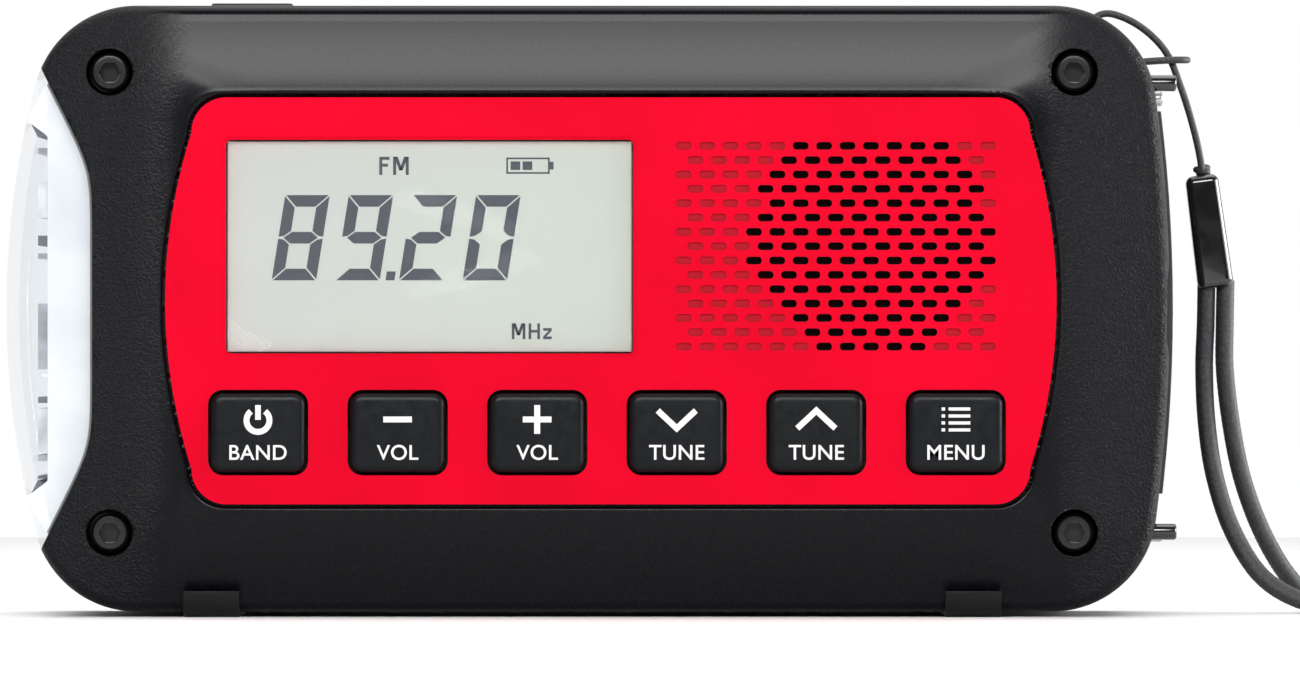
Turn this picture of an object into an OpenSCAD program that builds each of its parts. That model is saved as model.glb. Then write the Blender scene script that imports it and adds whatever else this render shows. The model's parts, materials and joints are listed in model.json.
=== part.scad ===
/* [Body] */
// Width from the tip of the lamp lens to the tips of the end posts
overall_w = 151.4; // [130:0.1:185]
// Height from the underside of the feet to the top of the lamp button
overall_h = 79.5; // [75:0.1:96]
// Depth from the face of the keys to the back of the rear shell
overall_d = 48; // [47:0.1:60]
// Radius of the four corners of the front outline
corner_r = 13.5; // [11:0.1:17]
// Radius of the bow of the right-hand end
right_bow_r = 210; // [170:1:260]
// Radius of the bow of the lens end
left_bow_r = 114; // [95:1:140]
// Radius of the edges round the front face
front_edge_r = 2.6; // [1.5:0.1:3.2]
// Radius of the edges round the rear face
rear_edge_r = 5; // [3:0.1:6]
// Wall of both shells
wall = 2.4; // [2:0.1:2.9]
// Wall behind the front face
front_wall = 3.6; // [3.2:0.1:4.3]
// Gap left between pieces that only sit beside each other
gap = 0.3; // [0.25:0.05:0.4]
// Radial clearance of pins and shafts in their bores
running_fit = 0.05; // [0.03:0.01:0.08]

/* [Faceplate and display] */
// Width of the faceplate
plate_w = 115; // [112:0.5:120]
// Height of the faceplate
plate_h = 52.5; // [50:0.5:55]
// Thickness of the faceplate
plate_t = 1.6; // [1.4:0.1:1.9]
// How far the ends of the faceplate bow outwards
plate_bow = 3.4; // [2:0.1:4]
// Radius of the corners of the faceplate
plate_r = 4.5; // [3:0.1:6]
// Width of the display window
window_w = 53.3; // [46:0.1:55]
// Height of the display window
window_h = 28.3; // [24:0.1:29]
// Thickness of the clear display window
window_t = 0.8; // [0.6:0.1:1]

/* [Keys] */
// Width of a key
key_w = 12.1; // [10:0.1:13.4]
// Height of a key
key_h = 10.2; // [8.5:0.1:11]
// Distance between neighbouring keys
key_pitch = 18; // [16.6:0.1:18.6]
// How far the keys stand out of the faceplate
key_proud = 0.8; // [0.7:0.05:1]
// Travel of a key and of the lamp button
key_travel = 0.8; // [0.5:0.05:0.9]

/* [Speaker] */
// Diameter of the loudspeaker
speaker_d = 36.8; // [31:0.1:37.4]
// Depth of the loudspeaker behind the front wall
speaker_depth = 15; // [12.5:0.1:17]
// Length of a grille slot
slot_l = 2; // [1.7:0.1:2.4]
// Width of a grille slot
slot_h = 1; // [0.8:0.05:1.2]

/* [Crank] */
// Radius of the round well in the rear shell
well_r = 29.5; // [28.5:0.1:30]
// Depth of the well
well_depth = 13; // [13:0.1:13.6]
// Distance from the hub axis to the axis of the knob
crank_reach = 21; // [19:0.1:21.8]
// Diameter of the crank shaft
shaft_d = 6; // [5:0.1:7.2]
// Diameter of the crank knob
knob_d = 12; // [10:0.1:13]

/* [Antenna] */
// Diameter of the outer antenna tube
mast_d = 5.2; // [4.6:0.1:5.6]
// Length of the outer antenna tube
mast_l = 104; // [87:1:106]
// Travel of each antenna tube
mast_travel = 88; // [70:1:90]

/* [Ports and strap] */
// Height of the port cover
cover_h = 49.5; // [42:0.5:52]
// Width of the port cover, from its front edge to its pin
cover_w = 21; // [20:0.5:21.5]
// Diameter of the thin strap cord
thin_d = 0.9; // [0.8:0.05:1]
// Diameter of each strand of the wrist loop
loop_d = 2.4; // [2:0.1:2.6]

/* [Battery] */
// Diameter of the battery cell
cell_d = 18.4; // [15.4:0.1:18.6]
// Length of the battery cell
cell_l = 65; // [55:1:78]

/* [Hidden] */
$fn = 48;

// How far the lamp button, the feet and the end posts stand out of the body
button_proud = 0.5;
foot_h = 0.65;
post_reach = 1;

// The body box: the keys reach the front limit and the end posts the right-hand one
half_w = overall_w / 2;
left_x = -half_w;
right_x = half_w - post_reach;
front_y = key_proud - overall_d / 2;
rear_y = overall_d / 2;
split_y = 2;
base_z = foot_h;
top_z = overall_h - button_proud;
mid_z = (base_z + top_z) / 2;
inner_front = front_y + front_wall;
far = 200;

// Centres of the arcs of the outline
bow_r_c = [right_x - right_bow_r, mid_z];
bow_l_c = [left_x + left_bow_r, mid_z];
corner_dz = (top_z - base_z) / 2 - corner_r;
corner_rx = bow_r_c[0] + sqrt(pow(right_bow_r - corner_r, 2) - pow(corner_dz, 2));
corner_lx = bow_l_c[0] - sqrt(pow(left_bow_r - corner_r, 2) - pow(corner_dz, 2));
phi_r = atan2(corner_dz, corner_rx - bow_r_c[0]);
phi_l = atan2(corner_dz, bow_l_c[0] - corner_lx);

// Points of an arc, with or without its last one
function arc(c, r, a0, a1, n, last = 1) =
    [for (i = [0 : n - 1 + last]) let (a = a0 + (a1 - a0) * i / n) [c[0] + r * cos(a), c[1] + r * sin(a)]];
// Front outline of the body, moved inwards by i
function outline(i) = concat(
    arc(bow_r_c, right_bow_r - i, -phi_r, phi_r, 12, 0),
    arc([corner_rx, mid_z + corner_dz], corner_r - i, phi_r, 90, 6),
    arc([corner_lx, mid_z + corner_dz], corner_r - i, 90, 180 - phi_l, 6, 0),
    arc(bow_l_c, left_bow_r - i, 180 - phi_l, 180 + phi_l, 12, 0),
    arc([corner_lx, mid_z - corner_dz], corner_r - i, 180 + phi_l, 270, 6),
    arc([corner_rx, mid_z - corner_dz], corner_r - i, 270, 360 - phi_r, 6, 0));
// A box with corner radius ra along its low second coordinate and rb along its high one
function round_box(x0, x1, y0, y1, ra, rb) = concat(
    arc([x1 - ra, y0 + ra], ra, 270, 360, 5),
    arc([x1 - rb, y1 - rb], rb, 0, 90, 5),
    arc([x0 + rb, y1 - rb], rb, 90, 180, 5),
    arc([x0 + ra, y0 + ra], ra, 180, 270, 5));
function unit(v) = v / norm(v);

module slab(x, y, z) {
    translate([x[0], y[0], z[0]]) cube([x[1] - x[0], y[1] - y[0], z[1] - z[0]]);
}
module rod_x(x, y, z, r) {
    translate([x[0], y, z]) rotate([0, 90, 0]) cylinder(h = x[1] - x[0], r = r);
}
module rod_y(x, y, z, r) {
    translate([x, y[1], z]) rotate([90, 0, 0]) cylinder(h = y[1] - y[0], r = r);
}
module rod_z(x, y, z, r) {
    translate([x, y, z[0]]) cylinder(h = z[1] - z[0], r = r);
}
// A flat shape in X and Z, between two depths
module plate_y(y) {
    translate([0, y[1], 0]) rotate([90, 0, 0]) linear_extrude(y[1] - y[0]) children();
}

// The whole outer form of the body, moved inwards by i
module body_form(i) {
    ra = front_edge_r - min(i, front_edge_r - 0.3);
    rb = rear_edge_r - min(i, rear_edge_r - 0.3);
    intersection() {
        plate_y([front_y + i, rear_y - i]) polygon(outline(i));
        linear_extrude(2 * far, center = true)
            polygon(round_box(left_x + i, right_x - i, front_y + i, rear_y - i, ra, rb));
        translate([-far, 0, 0]) rotate([90, 0, 90]) linear_extrude(2 * far) rotate(90) mirror([0, 1])
            polygon(round_box(base_z + i, top_z - i, front_y + i, rear_y - i, ra, rb));
    }
}

// Faceplate and what shows through it
plate_x = 2.45;
plate_z = mid_z + 1;
plate_back = front_y + plate_t;
window_x = plate_x - 23.4;
window_z = plate_z + 7;
keys_x = plate_x - 0.5;
keys_z = plate_z - 17;
speaker_x = plate_x + 33.45;
speaker_z = plate_z + 7.95;
speaker_hole_r = speaker_d / 2 - 1.8;
key_xs = [for (i = [0 : 5]) keys_x + (i - 2.5) * key_pitch];
key_flange = 0.9;
key_flange_t = 1;
board_y = inner_front + gap + key_flange_t + key_travel + gap + 1.6;
board_t = 1.4;
board_bottom = keys_z - key_h / 2 - 5;
board_top = top_z - 11;

// Lamp end
bulkhead = 2;
lens_wall = 1.8;
lens_in = 11.2;
lens_edge = 4.2;
lens_flat = 17.8;
lens_reach = 31.7;

// Rear: ledge of the antenna and well of the crank
ledge_y = rear_y - 9.2;
ledge_z = top_z - 10;
ledge_x = left_x + 13.7;
mast_y = rear_y - 4.3;
mast_z = top_z - 5;
turret_x = ledge_x + 10;
crank_x = -8;
crank_z = base_z + 36.35;
well_floor = rear_y - well_depth;
floor_back = well_floor - wall;
well_wall = 1.5;
well_flange = 2.4;
bond_gap = 0.1;
stem_bottom = ledge_z - 7;

// Ports and their cover
pin_d = 1.4;
knuckle_r = 1.2;
cover_x = right_x - 1.4;
cover_front = -17;
cover_y = cover_front + cover_w;
cover_z = mid_z + 0.8;
hinge_h = 20;
bay_x = right_x - 4.5;
bezel_t = 1.8;
bay_y = [-13.5, 1.6];
bay_h = 33;

// Solar panel, lamp button, screws, posts and feet
solar_x = [-29.9, 35.2];
solar_y = [-14, 12];
solar_drop = 0.5;
solar_cover_t = 0.6;
solar_cell_t = 1;
solar_floor = top_z - solar_drop - solar_cover_t - solar_cell_t;
button = [12.1, 10];
button_x = -44.2;
button_y = -6;
screw_x = [left_x + 13.4, right_x - 12.4];
screw_dz = 29.75;
screw_z = [mid_z - screw_dz + 0.8, mid_z + screw_dz + 0.8];
screw_seat = front_y + 5;
screw_shank_r = 1.25;
screw_end = split_y + 3.8;
post_d = 2.1;
foot_w = 7.2;
foot_x = [-49.1, 49.2];
foot_back = rear_y - 7;
foot_top = base_z + 2.7;
foot_sink = 0.6;

// Strap eyelet: a slot down from the top and one out to the side, round a corner bar
slot_w = 4.6;
eye_x = right_x - 9.8;
eye_y = [6.4, 11.6];
eye_z = top_z - 6.7;

// Outline of the faceplate, grown by g: flat top and bottom, bowed ends
function plate_side(g, x, s) = [for (i = [0 : 8]) let (t = i / 4 - 1)
    [x + s * (plate_w / 2 + g - plate_bow * t * t), plate_z + s * t * (plate_h / 2 - plate_r)]];
function plate_pts(g) = concat(
    plate_side(g, plate_x, 1),
    arc([plate_x + plate_w / 2 - plate_bow - plate_r, plate_z + plate_h / 2 - plate_r], plate_r + g, 20, 90, 4),
    arc([plate_x - plate_w / 2 + plate_bow + plate_r, plate_z + plate_h / 2 - plate_r], plate_r + g, 90, 160, 4),
    plate_side(g, plate_x, -1),
    arc([plate_x - plate_w / 2 + plate_bow + plate_r, plate_z - plate_h / 2 + plate_r], plate_r + g, 200, 270, 4),
    arc([plate_x + plate_w / 2 - plate_bow - plate_r, plate_z - plate_h / 2 + plate_r], plate_r + g, 270, 340, 4));

// Rows of slots: the middle of the field is open and the rest are only pressed in
grille_rows = 15;
grille_pitch = [3.02, 1.85];
open_rows = [[5, 11], [4, 11], [4, 12], [3, 12], [3, 13], [3, 12], [3, 13], [3, 12], [3, 13], [3, 12],
    [4, 12], [4, 11], [5, 11], [5, 10], [1, 0]];
function slot_centre(r, k) =
    [plate_x + 9.4 + (k + r % 2 / 2) * grille_pitch[0], plate_z + 20 - r * grille_pitch[1]];
function slot_count(r) = r % 2 == 1 || r == 0 || r == grille_rows - 1 ? 14 : 15;
function slot_pts(c) = concat(
    arc([c[0] + (slot_l - slot_h) / 2, c[1]], slot_h / 2, -90, 90, 4),
    arc([c[0] - (slot_l - slot_h) / 2, c[1]], slot_h / 2, 90, 270, 4));
slots_all = [for (r = [0 : grille_rows - 1]) for (k = [0 : slot_count(r) - 1]) slot_centre(r, k)];
slots_open = [for (r = [0 : grille_rows - 2]) for (k = [open_rows[r][0] : open_rows[r][1]]) slot_centre(r, k)];
slot_press = 0.35;

module window_hole(g) {
    plate_y([front_y - 1, plate_back + 0.01])
        polygon(round_box(window_x - window_w / 2 - g, window_x + window_w / 2 + g,
            window_z - window_h / 2 - g, window_z + window_h / 2 + g, 1.3, 1.3));
}
module key_holes(g, y) {
    for (x = key_xs) slab([x - key_w / 2 - g, x + key_w / 2 + g], y, [keys_z - key_h / 2 - g, keys_z + key_h / 2 + g]);
}
// A plate with the pattern of slots punched through it
module punched(y, centres) {
    outer = plate_pts(0);
    holes = [for (c = centres) slot_pts(c)];
    size = len(slot_pts([0, 0]));
    plate_y(y) polygon(
        points = concat(outer, [for (h = holes) for (p = h) p]),
        paths = concat([[for (i = [0 : len(outer) - 1]) i]],
            [for (n = [0 : len(holes) - 1]) [for (i = [0 : size - 1]) len(outer) + n * size + i]]));
}

// The clear end cap takes this part of the body; s moves its boundary inwards
module lens_zone(s) {
    plate_y([-far, far]) polygon([
        [left_x - 6, mid_z - lens_reach], [left_x + lens_edge + s, mid_z - lens_reach],
        [left_x + lens_in + s, mid_z - lens_flat], [left_x + lens_in + s, mid_z + lens_flat],
        [left_x + lens_edge + s, mid_z + lens_reach], [left_x - 6, mid_z + lens_reach]]);
}

// The hollow inside both shells, less every wall, block and boss that stands in it
module cavity() {
    difference() {
        intersection() {
            body_form(wall);
            slab([left_x, right_x], [inner_front, rear_y], [0, top_z]);
        }
        lens_zone(bulkhead);
        slab([solar_x[0] - wall, solar_x[1] + wall], [solar_y[0] - wall, solar_y[1] + wall],
            [solar_floor - 1.6, top_z]);
        slab([bay_x, half_w], [cover_front - 2, cover_y + 5], [cover_z - cover_h / 2 - 2, cover_z + cover_h / 2 + 2]);
        slab([ledge_x - wall, half_w], [ledge_y - wall, rear_y], [ledge_z - wall, top_z]);
        slab([eye_x - slot_w / 2 - 2.4, half_w], [split_y, eye_y[1] + 2], [eye_z - slot_w / 2 - 2, top_z]);
        rod_z(turret_x, mast_y, [stem_bottom - 1.5, ledge_z], 4);
        for (x = screw_x) for (z = screw_z) rod_y(x, [front_y, rear_y], z, 4.2);
        for (p = board_posts) rod_y(p[0], [front_y, board_y], p[1], 1.7);
        for (x = post_xs) slab([button_x + x, button_x + x + 2.4], [button_y - 4, button_y + 4],
            [button_board_z, top_z]);
        slab([-52, -48], [-13.5, split_y], [0, cell_z]);
        slab([cell_l - 45, cell_l - 42], [-13.5, split_y], [0, cell_z]);
    }
}
board_posts = [[plate_x - 52.65, board_top - 1.9], [plate_x + 9.05, board_top - 1.9],
    [keys_x - 48, board_bottom + 2], [keys_x + 48, board_bottom + 2]];
post_xs = [-9.9, 7.5];
button_board_z = top_z - 9;
cell_y = -2;
cell_z = base_z + wall + 0.75 + cell_d / 2 + 0.4;

// Everything cut into the shells from outside
module shell_cuts() {
    lens_zone(0);
    plate_y([front_y - 1, plate_back]) polygon(plate_pts(0.4));
    plate_y([front_y, inner_front + 1]) polygon(round_box(
        window_x - window_w / 2 + 1, window_x + window_w / 2 - 1,
        window_z - window_h / 2 + 1, window_z + window_h / 2 - 1, 1, 1));
    key_holes(gap, [front_y - 1, inner_front + 1]);
    rod_y(speaker_x, [front_y, inner_front + 1], speaker_z, speaker_hole_r);
    for (x = screw_x) for (z = screw_z) {
        rod_y(x, [front_y - 1, screw_seat], z, 3.05);
        rod_y(x, [screw_seat - 1, screw_end], z, screw_shank_r);
    }
    slab(solar_x, solar_y, [solar_floor, top_z + 1]);
    slab([button_x - button[0] / 2 - gap, button_x + button[0] / 2 + gap],
        [button_y - button[1] / 2 - gap, button_y + button[1] / 2 + gap], [top_z - wall - 1, top_z + 1]);
    port_cuts();
    slab([eye_x - slot_w / 2, eye_x + slot_w / 2], eye_y, [eye_z - slot_w / 2, top_z + 1]);
    slab([eye_x - slot_w / 2, half_w + 1], eye_y, [eye_z - slot_w / 2, eye_z + slot_w / 2]);
    slab([ledge_x, half_w + 1], [ledge_y, rear_y + 1], [ledge_z, top_z + 1]);
    rod_z(turret_x, mast_y, [stem_bottom, ledge_z + 1], 2 + running_fit);
    rod_y(crank_x, [floor_back, rear_y + 1], crank_z, well_r + well_wall + bond_gap);
    posts();
    foot_band();
    seal_band(0);
}
// The recess of the port cover, its hinge groove, the thumb notch and the way to the sockets
module port_cuts() {
    z = [cover_z - cover_h / 2 - gap, cover_z + cover_h / 2 + gap];
    difference() {
        slab([bay_x, half_w + 2], [cover_front - gap, cover_y - knuckle_r], z);
        bowed_block(-1.3 - gap, z);
    }
    // Relief for the inner corner of the leaf as it swings out
    slab([cover_x + pin_d / 2 - 0.05, half_w + 2], [cover_y - knuckle_r - 0.1, cover_y - 0.5], z);
    slab([cover_x - knuckle_r - gap - 0.5, half_w + 2], [cover_y - knuckle_r - 2 * gap - 0.5, cover_y + 3],
        [cover_z - hinge_h / 2 - gap, cover_z + hinge_h / 2 + gap]);
    slab([bay_x - 1, half_w + 2], bay_y, [cover_z - bay_h / 2, cover_z + bay_h / 2]);
    rod_z(cover_x, cover_y, [cover_z - hinge_h / 2 - 3, cover_z + hinge_h / 2 + 3], pin_d / 2);
    rod_z(right_x + 1.6, cover_front - 0.6, [cover_z - 7.5, cover_z + 5.1], 3.2);
}
// Solid behind the bowed right-hand end, moved outwards by o
module bowed_block(o, z) {
    intersection() {
        slab([0, far], [-far, far], z);
        plate_y([-far, far]) polygon(concat(arc(bow_r_c, right_bow_r + o, -12, 12, 24), [[0, mid_z]]));
    }
}
module posts() {
    for (p = [[front_y + 8.2, mid_z + 29.2, half_w], [front_y + 8.2, mid_z - 28.9, half_w],
            [rear_y - 13.5, mid_z + 27.6, half_w - 0.9], [rear_y - 13.5, mid_z - 29.5, half_w - 0.9]])
        rod_x([right_x - 9, p[2]], p[0], p[1], post_d / 2);
}
module foot_band() {
    difference() {
        for (x = foot_x) slab([x - foot_w / 2, x + foot_w / 2], [front_y - 1, foot_back], [-1, foot_top]);
        body_form(foot_sink);
    }
}
// Gasket between the shells along the top and the bottom
module seal_band(g) {
    difference() {
        plate_y([split_y - 0.5 + g, split_y + 0.5 - g]) difference() {
            polygon(outline(0.9));
            polygon(outline(1.7));
        }
        slab([solar_x[0] - 1, solar_x[1] + 1], [-far, far], [mid_z, top_z]);
        slab([corner_rx - 4, far], [-far, far], [0, far]);
        slab([-far, corner_lx + 2], [-far, far], [0, far]);
        for (x = foot_x) slab([x - foot_w / 2 - 1, x + foot_w / 2 + 1], [-far, far], [0, mid_z]);
    }
}

module front_shell() {
    color("#1b1d20") difference() {
        intersection() {
            body_form(0);
            slab([left_x - 1, half_w], [front_y - 1, split_y], [0, top_z + 1]);
        }
        cavity();
        shell_cuts();
    }
}
module rear_shell() {
    color("#1b1d20") difference() {
        intersection() {
            body_form(0);
            slab([left_x - 1, half_w], [split_y, rear_y + 1], [0, top_z + 1]);
        }
        cavity();
        shell_cuts();
    }
}
module shell_seal() {
    color("#2a2a2a") seal_band(0);
}
module faceplate() {
    color("#f0133a") difference() {
        union() {
            punched([front_y, front_y + slot_press], slots_all);
            punched([front_y + slot_press, plate_back], slots_open);
        }
        window_hole(0);
        key_holes(gap, [front_y - 1, plate_back + 1]);
    }
}
module lcd_window() {
    color("#dfe6e2") plate_y([plate_back - window_t, plate_back])
        polygon(round_box(window_x - window_w / 2 + 0.1, window_x + window_w / 2 - 0.1,
            window_z - window_h / 2 + 0.1, window_z + window_h / 2 - 0.1, 1.2, 1.2));
}
module lcd_module() {
    w = window_w / 2 - 1.2;
    h = window_h / 2 - 1.2;
    color("#c9cccb") {
        slab([window_x - w, window_x + w], [plate_back, inner_front + gap], [window_z - h, window_z + h]);
        slab([window_x - w - 2, window_x + w + 2], [inner_front, inner_front + 2.2], [window_z - h - 2, window_z + h + 2]);
    }
}
module main_board() {
    right = plate_x + plate_w / 2 - 3.5;
    y = [board_y, board_y + board_t];
    color("#1f5d3a") {
        slab([keys_x - 54, right], y, [board_bottom, speaker_z - speaker_d / 2 - gap]);
        slab([keys_x - 54, speaker_x - speaker_d / 2 - 2], y, [board_bottom, board_top]);
    }
}
module tact_switches() {
    color("#b8bcc0") {
        for (x = key_xs) slab([x - 3, x + 3], [board_y - 1.6, board_y], [keys_z - 3, keys_z + 3]);
        slab([button_x - 3, button_x + 3], [button_y - 3, button_y + 3],
            [button_board_z, button_flange_z - key_travel - gap]);
    }
}
button_flange_z = top_z - wall - gap - key_flange_t;

// A key cap with bevelled edges and the flange that keeps it in
module key_cap(x) {
    bevel = 0.6;
    w = key_w / 2;
    h = key_h / 2;
    color("#181a1d") {
        slab([x - w, x + w], [front_y - key_proud + bevel, inner_front + gap], [keys_z - h, keys_z + h]);
        slab([x - w + bevel, x + w - bevel], [front_y - key_proud, inner_front],
            [keys_z - h + bevel, keys_z + h - bevel]);
        slab([x - w - key_flange, x + w + key_flange], [inner_front + gap, inner_front + gap + key_flange_t],
            [keys_z - h - key_flange, keys_z + h + key_flange]);
    }
}
module key_band() { key_cap(key_xs[0]); }
module key_volume_down() { key_cap(key_xs[1]); }
module key_volume_up() { key_cap(key_xs[2]); }
module key_tune_down() { key_cap(key_xs[3]); }
module key_tune_up() { key_cap(key_xs[4]); }
module key_menu() { key_cap(key_xs[5]); }
module grille_cloth() {
    color("#101010") rod_y(speaker_x, [plate_back, plate_back + 0.4], speaker_z, speaker_hole_r);
}
module speaker_frame() {
    color("#8d9196") translate([speaker_x, inner_front, speaker_z]) rotate([-90, 0, 0]) rotate_extrude()
        polygon([[speaker_hole_r - 0.6, 0], [speaker_d / 2, 0], [speaker_d / 2, 1.5], [speaker_d / 2 - 1.5, 2.5],
            [11, speaker_depth - 6], [11, speaker_depth - 5], [9, speaker_depth - 5], [9, speaker_depth - 6.5],
            [speaker_hole_r - 0.6, 3]]);
}
module speaker_cone() {
    color("#26282b") translate([speaker_x, inner_front, speaker_z]) rotate([-90, 0, 0]) rotate_extrude()
        polygon([[0, 4.5], [5, 5.5], [speaker_hole_r - 0.6, 1.2], [speaker_hole_r - 0.6, 2], [5, 6.5], [0, 5.5]]);
}
module speaker_magnet() {
    color("#55585c") rod_y(speaker_x, [inner_front + speaker_depth - 5, inner_front + speaker_depth], speaker_z, 10.5);
}
module housing_screws() {
    color("#2c2d30") for (x = screw_x) for (z = screw_z) difference() {
        union() {
            rod_y(x, [screw_seat - 1.9, screw_seat], z, 2.6);
            rod_y(x, [screw_seat, screw_end], z, screw_shank_r);
        }
        translate([x, screw_seat - 0.9, z]) rotate([90, 0, 0]) cylinder(h = 2, r = 1.3, $fn = 6);
    }
}
module solar_cover() {
    color("#10131c") slab([solar_x[0] + 0.1, solar_x[1] - 0.1], [solar_y[0] + 0.1, solar_y[1] - 0.1],
        [top_z - solar_drop - solar_cover_t, top_z - solar_drop]);
}
module solar_cells() {
    color("#1b2440") slab([solar_x[0] + 0.6, solar_x[1] - 0.6], [solar_y[0] + 0.6, solar_y[1] - 0.6],
        [solar_floor, solar_floor + solar_cell_t]);
}
module lamp_lens() {
    color("#e6eef0") difference() {
        intersection() {
            body_form(0);
            lens_zone(-0.05);
        }
        intersection() {
            body_form(lens_wall);
            lens_zone(1);
        }
    }
}
module lamp_reflector() {
    color("#e8eaec") difference() {
        intersection() {
            body_form(lens_wall + 0.2);
            lens_zone(-1.1);
        }
        lens_zone(-2.1);
        for (z = led_zs) rod_x([left_x, 0], 0, z, 2.1);
    }
}
led_zs = [for (i = [-2 : 2]) mid_z + 6.8 * i];
module lamp_board() {
    color("#d8dbd8") slab([left_x + lens_in - 1.1, left_x + lens_in], [-8, 8], [mid_z - 17, mid_z + 17]);
}
module lamp_leds() {
    color("#f4e9a0") for (z = led_zs) rod_x([left_x + lens_in - 3.2, left_x + lens_in - 1.1], 0, z, 1.75);
}
module lamp_button() {
    w = button[0] / 2;
    d = button[1] / 2;
    color("#1b1d20") {
        slab([button_x - w, button_x + w], [button_y - d, button_y + d], [button_flange_z + 0.5, overall_h - 0.4]);
        slab([button_x - w + 0.9, button_x + w - 0.9], [button_y - d + 0.9, button_y + d - 0.9],
            [button_flange_z + 0.5, overall_h]);
        slab([button_x - w - 1, button_x + w + 1], [button_y - d - 1, button_y + d + 1],
            [button_flange_z, button_flange_z + key_flange_t]);
    }
}
module button_board() {
    color("#1f5d3a") slab([button_x - 10.4, button_x + 10.4], [button_y - 5, button_y + 5],
        [button_board_z - 1.2, button_board_z]);
}
module battery_cell() {
    color("#2f6fb5") {
        rod_x([-47, cell_l - 47], cell_y, cell_z, cell_d / 2);
        rod_x([cell_l - 47, cell_l - 45.6], cell_y, cell_z, 3);
    }
}
module battery_holder() {
    color("#202124") difference() {
        slab([-48, cell_l - 45], [cell_y - cell_d / 2 - 1, cell_y + cell_d / 2 + 0.2], [base_z + wall, cell_z - 2]);
        rod_x([-47, cell_l - 46], cell_y, cell_z, cell_d / 2);
        rod_x([cell_l - 47, cell_l - 45.6], cell_y, cell_z, 3);
    }
}

// The dish of the crank, bonded into the rear shell by a flange behind its wall
module crank_well() {
    ring_r = well_r + well_wall;
    color("#1b1d20") difference() {
        intersection() {
            union() {
                rod_y(crank_x, [floor_back, rear_y], crank_z, ring_r);
                rod_y(crank_x, [rear_y - wall - flange_t, rear_y - wall], crank_z, ring_r + well_flange);
                rod_y(crank_x, [floor_back - bush_reach, rear_y], crank_z, shaft_d / 2 + 4);
            }
            slab([left_x, right_x], [floor_back - bush_reach, rear_y], [0, ledge_z]);
        }
        difference() {
            slab([left_x, right_x], [floor_back, rear_y - wall], [ledge_z - wall - gap, top_z]);
            rod_y(crank_x, [floor_back, rear_y], crank_z, ring_r);
        }
        difference() {
            slab([left_x, right_x], [floor_back, rear_y - wall], [0, base_z + rear_edge_r + gap]);
            rod_y(crank_x, [floor_back, rear_y], crank_z, ring_r);
        }
        rod_y(crank_x, [well_floor, rear_y + 1], crank_z, well_r);
        rod_y(crank_x, [floor_back - bush_reach - 1, well_floor + 1], crank_z, shaft_d / 2 + 2);
    }
}
flange_t = 1.5;
bush_reach = 1.2;

// Crank: hub, arm folded across it and knob under the arm
hub_r = 10;
hub_face = [well_floor + gap, well_floor + 6.3];
pin_off = 9;
arm_pin_y = rear_y - 1.6;
arm_y = [arm_pin_y - 4.4, arm_pin_y - 1.9];
arm_w = 9;
ear_t = 2;
module crank_bush() {
    color("#b08d4a") difference() {
        rod_y(crank_x, [floor_back - bush_reach, well_floor], crank_z, shaft_d / 2 + 2);
        rod_y(crank_x, [floor_back - 2, well_floor + 1], crank_z, shaft_d / 2 + running_fit);
    }
}
module crank_hub() {
    color("#26282b") difference() {
        union() {
            rod_y(crank_x, hub_face, crank_z, hub_r);
            rod_y(crank_x, [gear_y[0] - 0.5, hub_face[0]], crank_z, shaft_d / 2);
            for (s = [-1, 1]) hull() {
                rod_x(ear_span(s), arm_pin_y, crank_z + pin_off, 1.5);
                slab(ear_span(s), [hub_face[1] - 1, hub_face[1]], [crank_z + pin_off - 4, crank_z + pin_off - 0.6]);
            }
        }
        rod_x([crank_x - 9, crank_x + 9], arm_pin_y, crank_z + pin_off, 0.8);
    }
}
function ear_span(s) = let (a = crank_x + s * (arm_w / 2 + gap), b = a + s * ear_t) [min(a, b), max(a, b)];
module crank_arm_pin() {
    color("#c4c7ca") rod_x([crank_x - arm_w / 2 - gap - ear_t, crank_x + arm_w / 2 + gap + ear_t],
        arm_pin_y, crank_z + pin_off, 0.8);
}
module crank_arm() {
    z = crank_z + pin_off;
    x = [crank_x - arm_w / 2, crank_x + arm_w / 2];
    color("#1f2124") difference() {
        union() {
            rod_x(x, arm_pin_y, z, 1.5);
            slab(x, [arm_y[0], arm_pin_y], [z - 1.5, z + 1.2]);
            slab(x, arm_y, [crank_z - crank_reach, z + 1.2]);
            rod_y(crank_x, arm_y, crank_z - crank_reach, knob_d / 2);
            rod_y(crank_x, [well_floor + 1.2, arm_y[0]], crank_z - crank_reach, 2);
        }
        rod_x([x[0] - 1, x[1] + 1], arm_pin_y, z, 0.8 + running_fit);
    }
}
module crank_knob() {
    color("#141517") difference() {
        rod_y(crank_x, [well_floor + 0.7, arm_y[0] - gap], crank_z - crank_reach, knob_d / 2);
        rod_y(crank_x, [well_floor, arm_y[0]], crank_z - crank_reach, 2 + running_fit);
    }
}

// Step-up gears: the crank drives the idler, and the idler drives the generator's pinion
gear_m = 0.8;
teeth = [36, 14, 30, 14];
gear_y = [floor_back - 4.5, floor_back - 1.7];
idler_y = [gear_y[0] - 3.5, gear_y[0] - 0.7];
frame_y = [idler_y[0] - 1.6, idler_y[0] - 0.4];
mesh = [gear_m * (teeth[0] + teeth[1]) / 2, gear_m * (teeth[2] + teeth[3]) / 2];
idler_a = 37;
idler = [crank_x + mesh[0] * cos(idler_a), crank_z + mesh[0] * sin(idler_a)];
rotor = [idler[0] - mesh[1], idler[1]];
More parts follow.
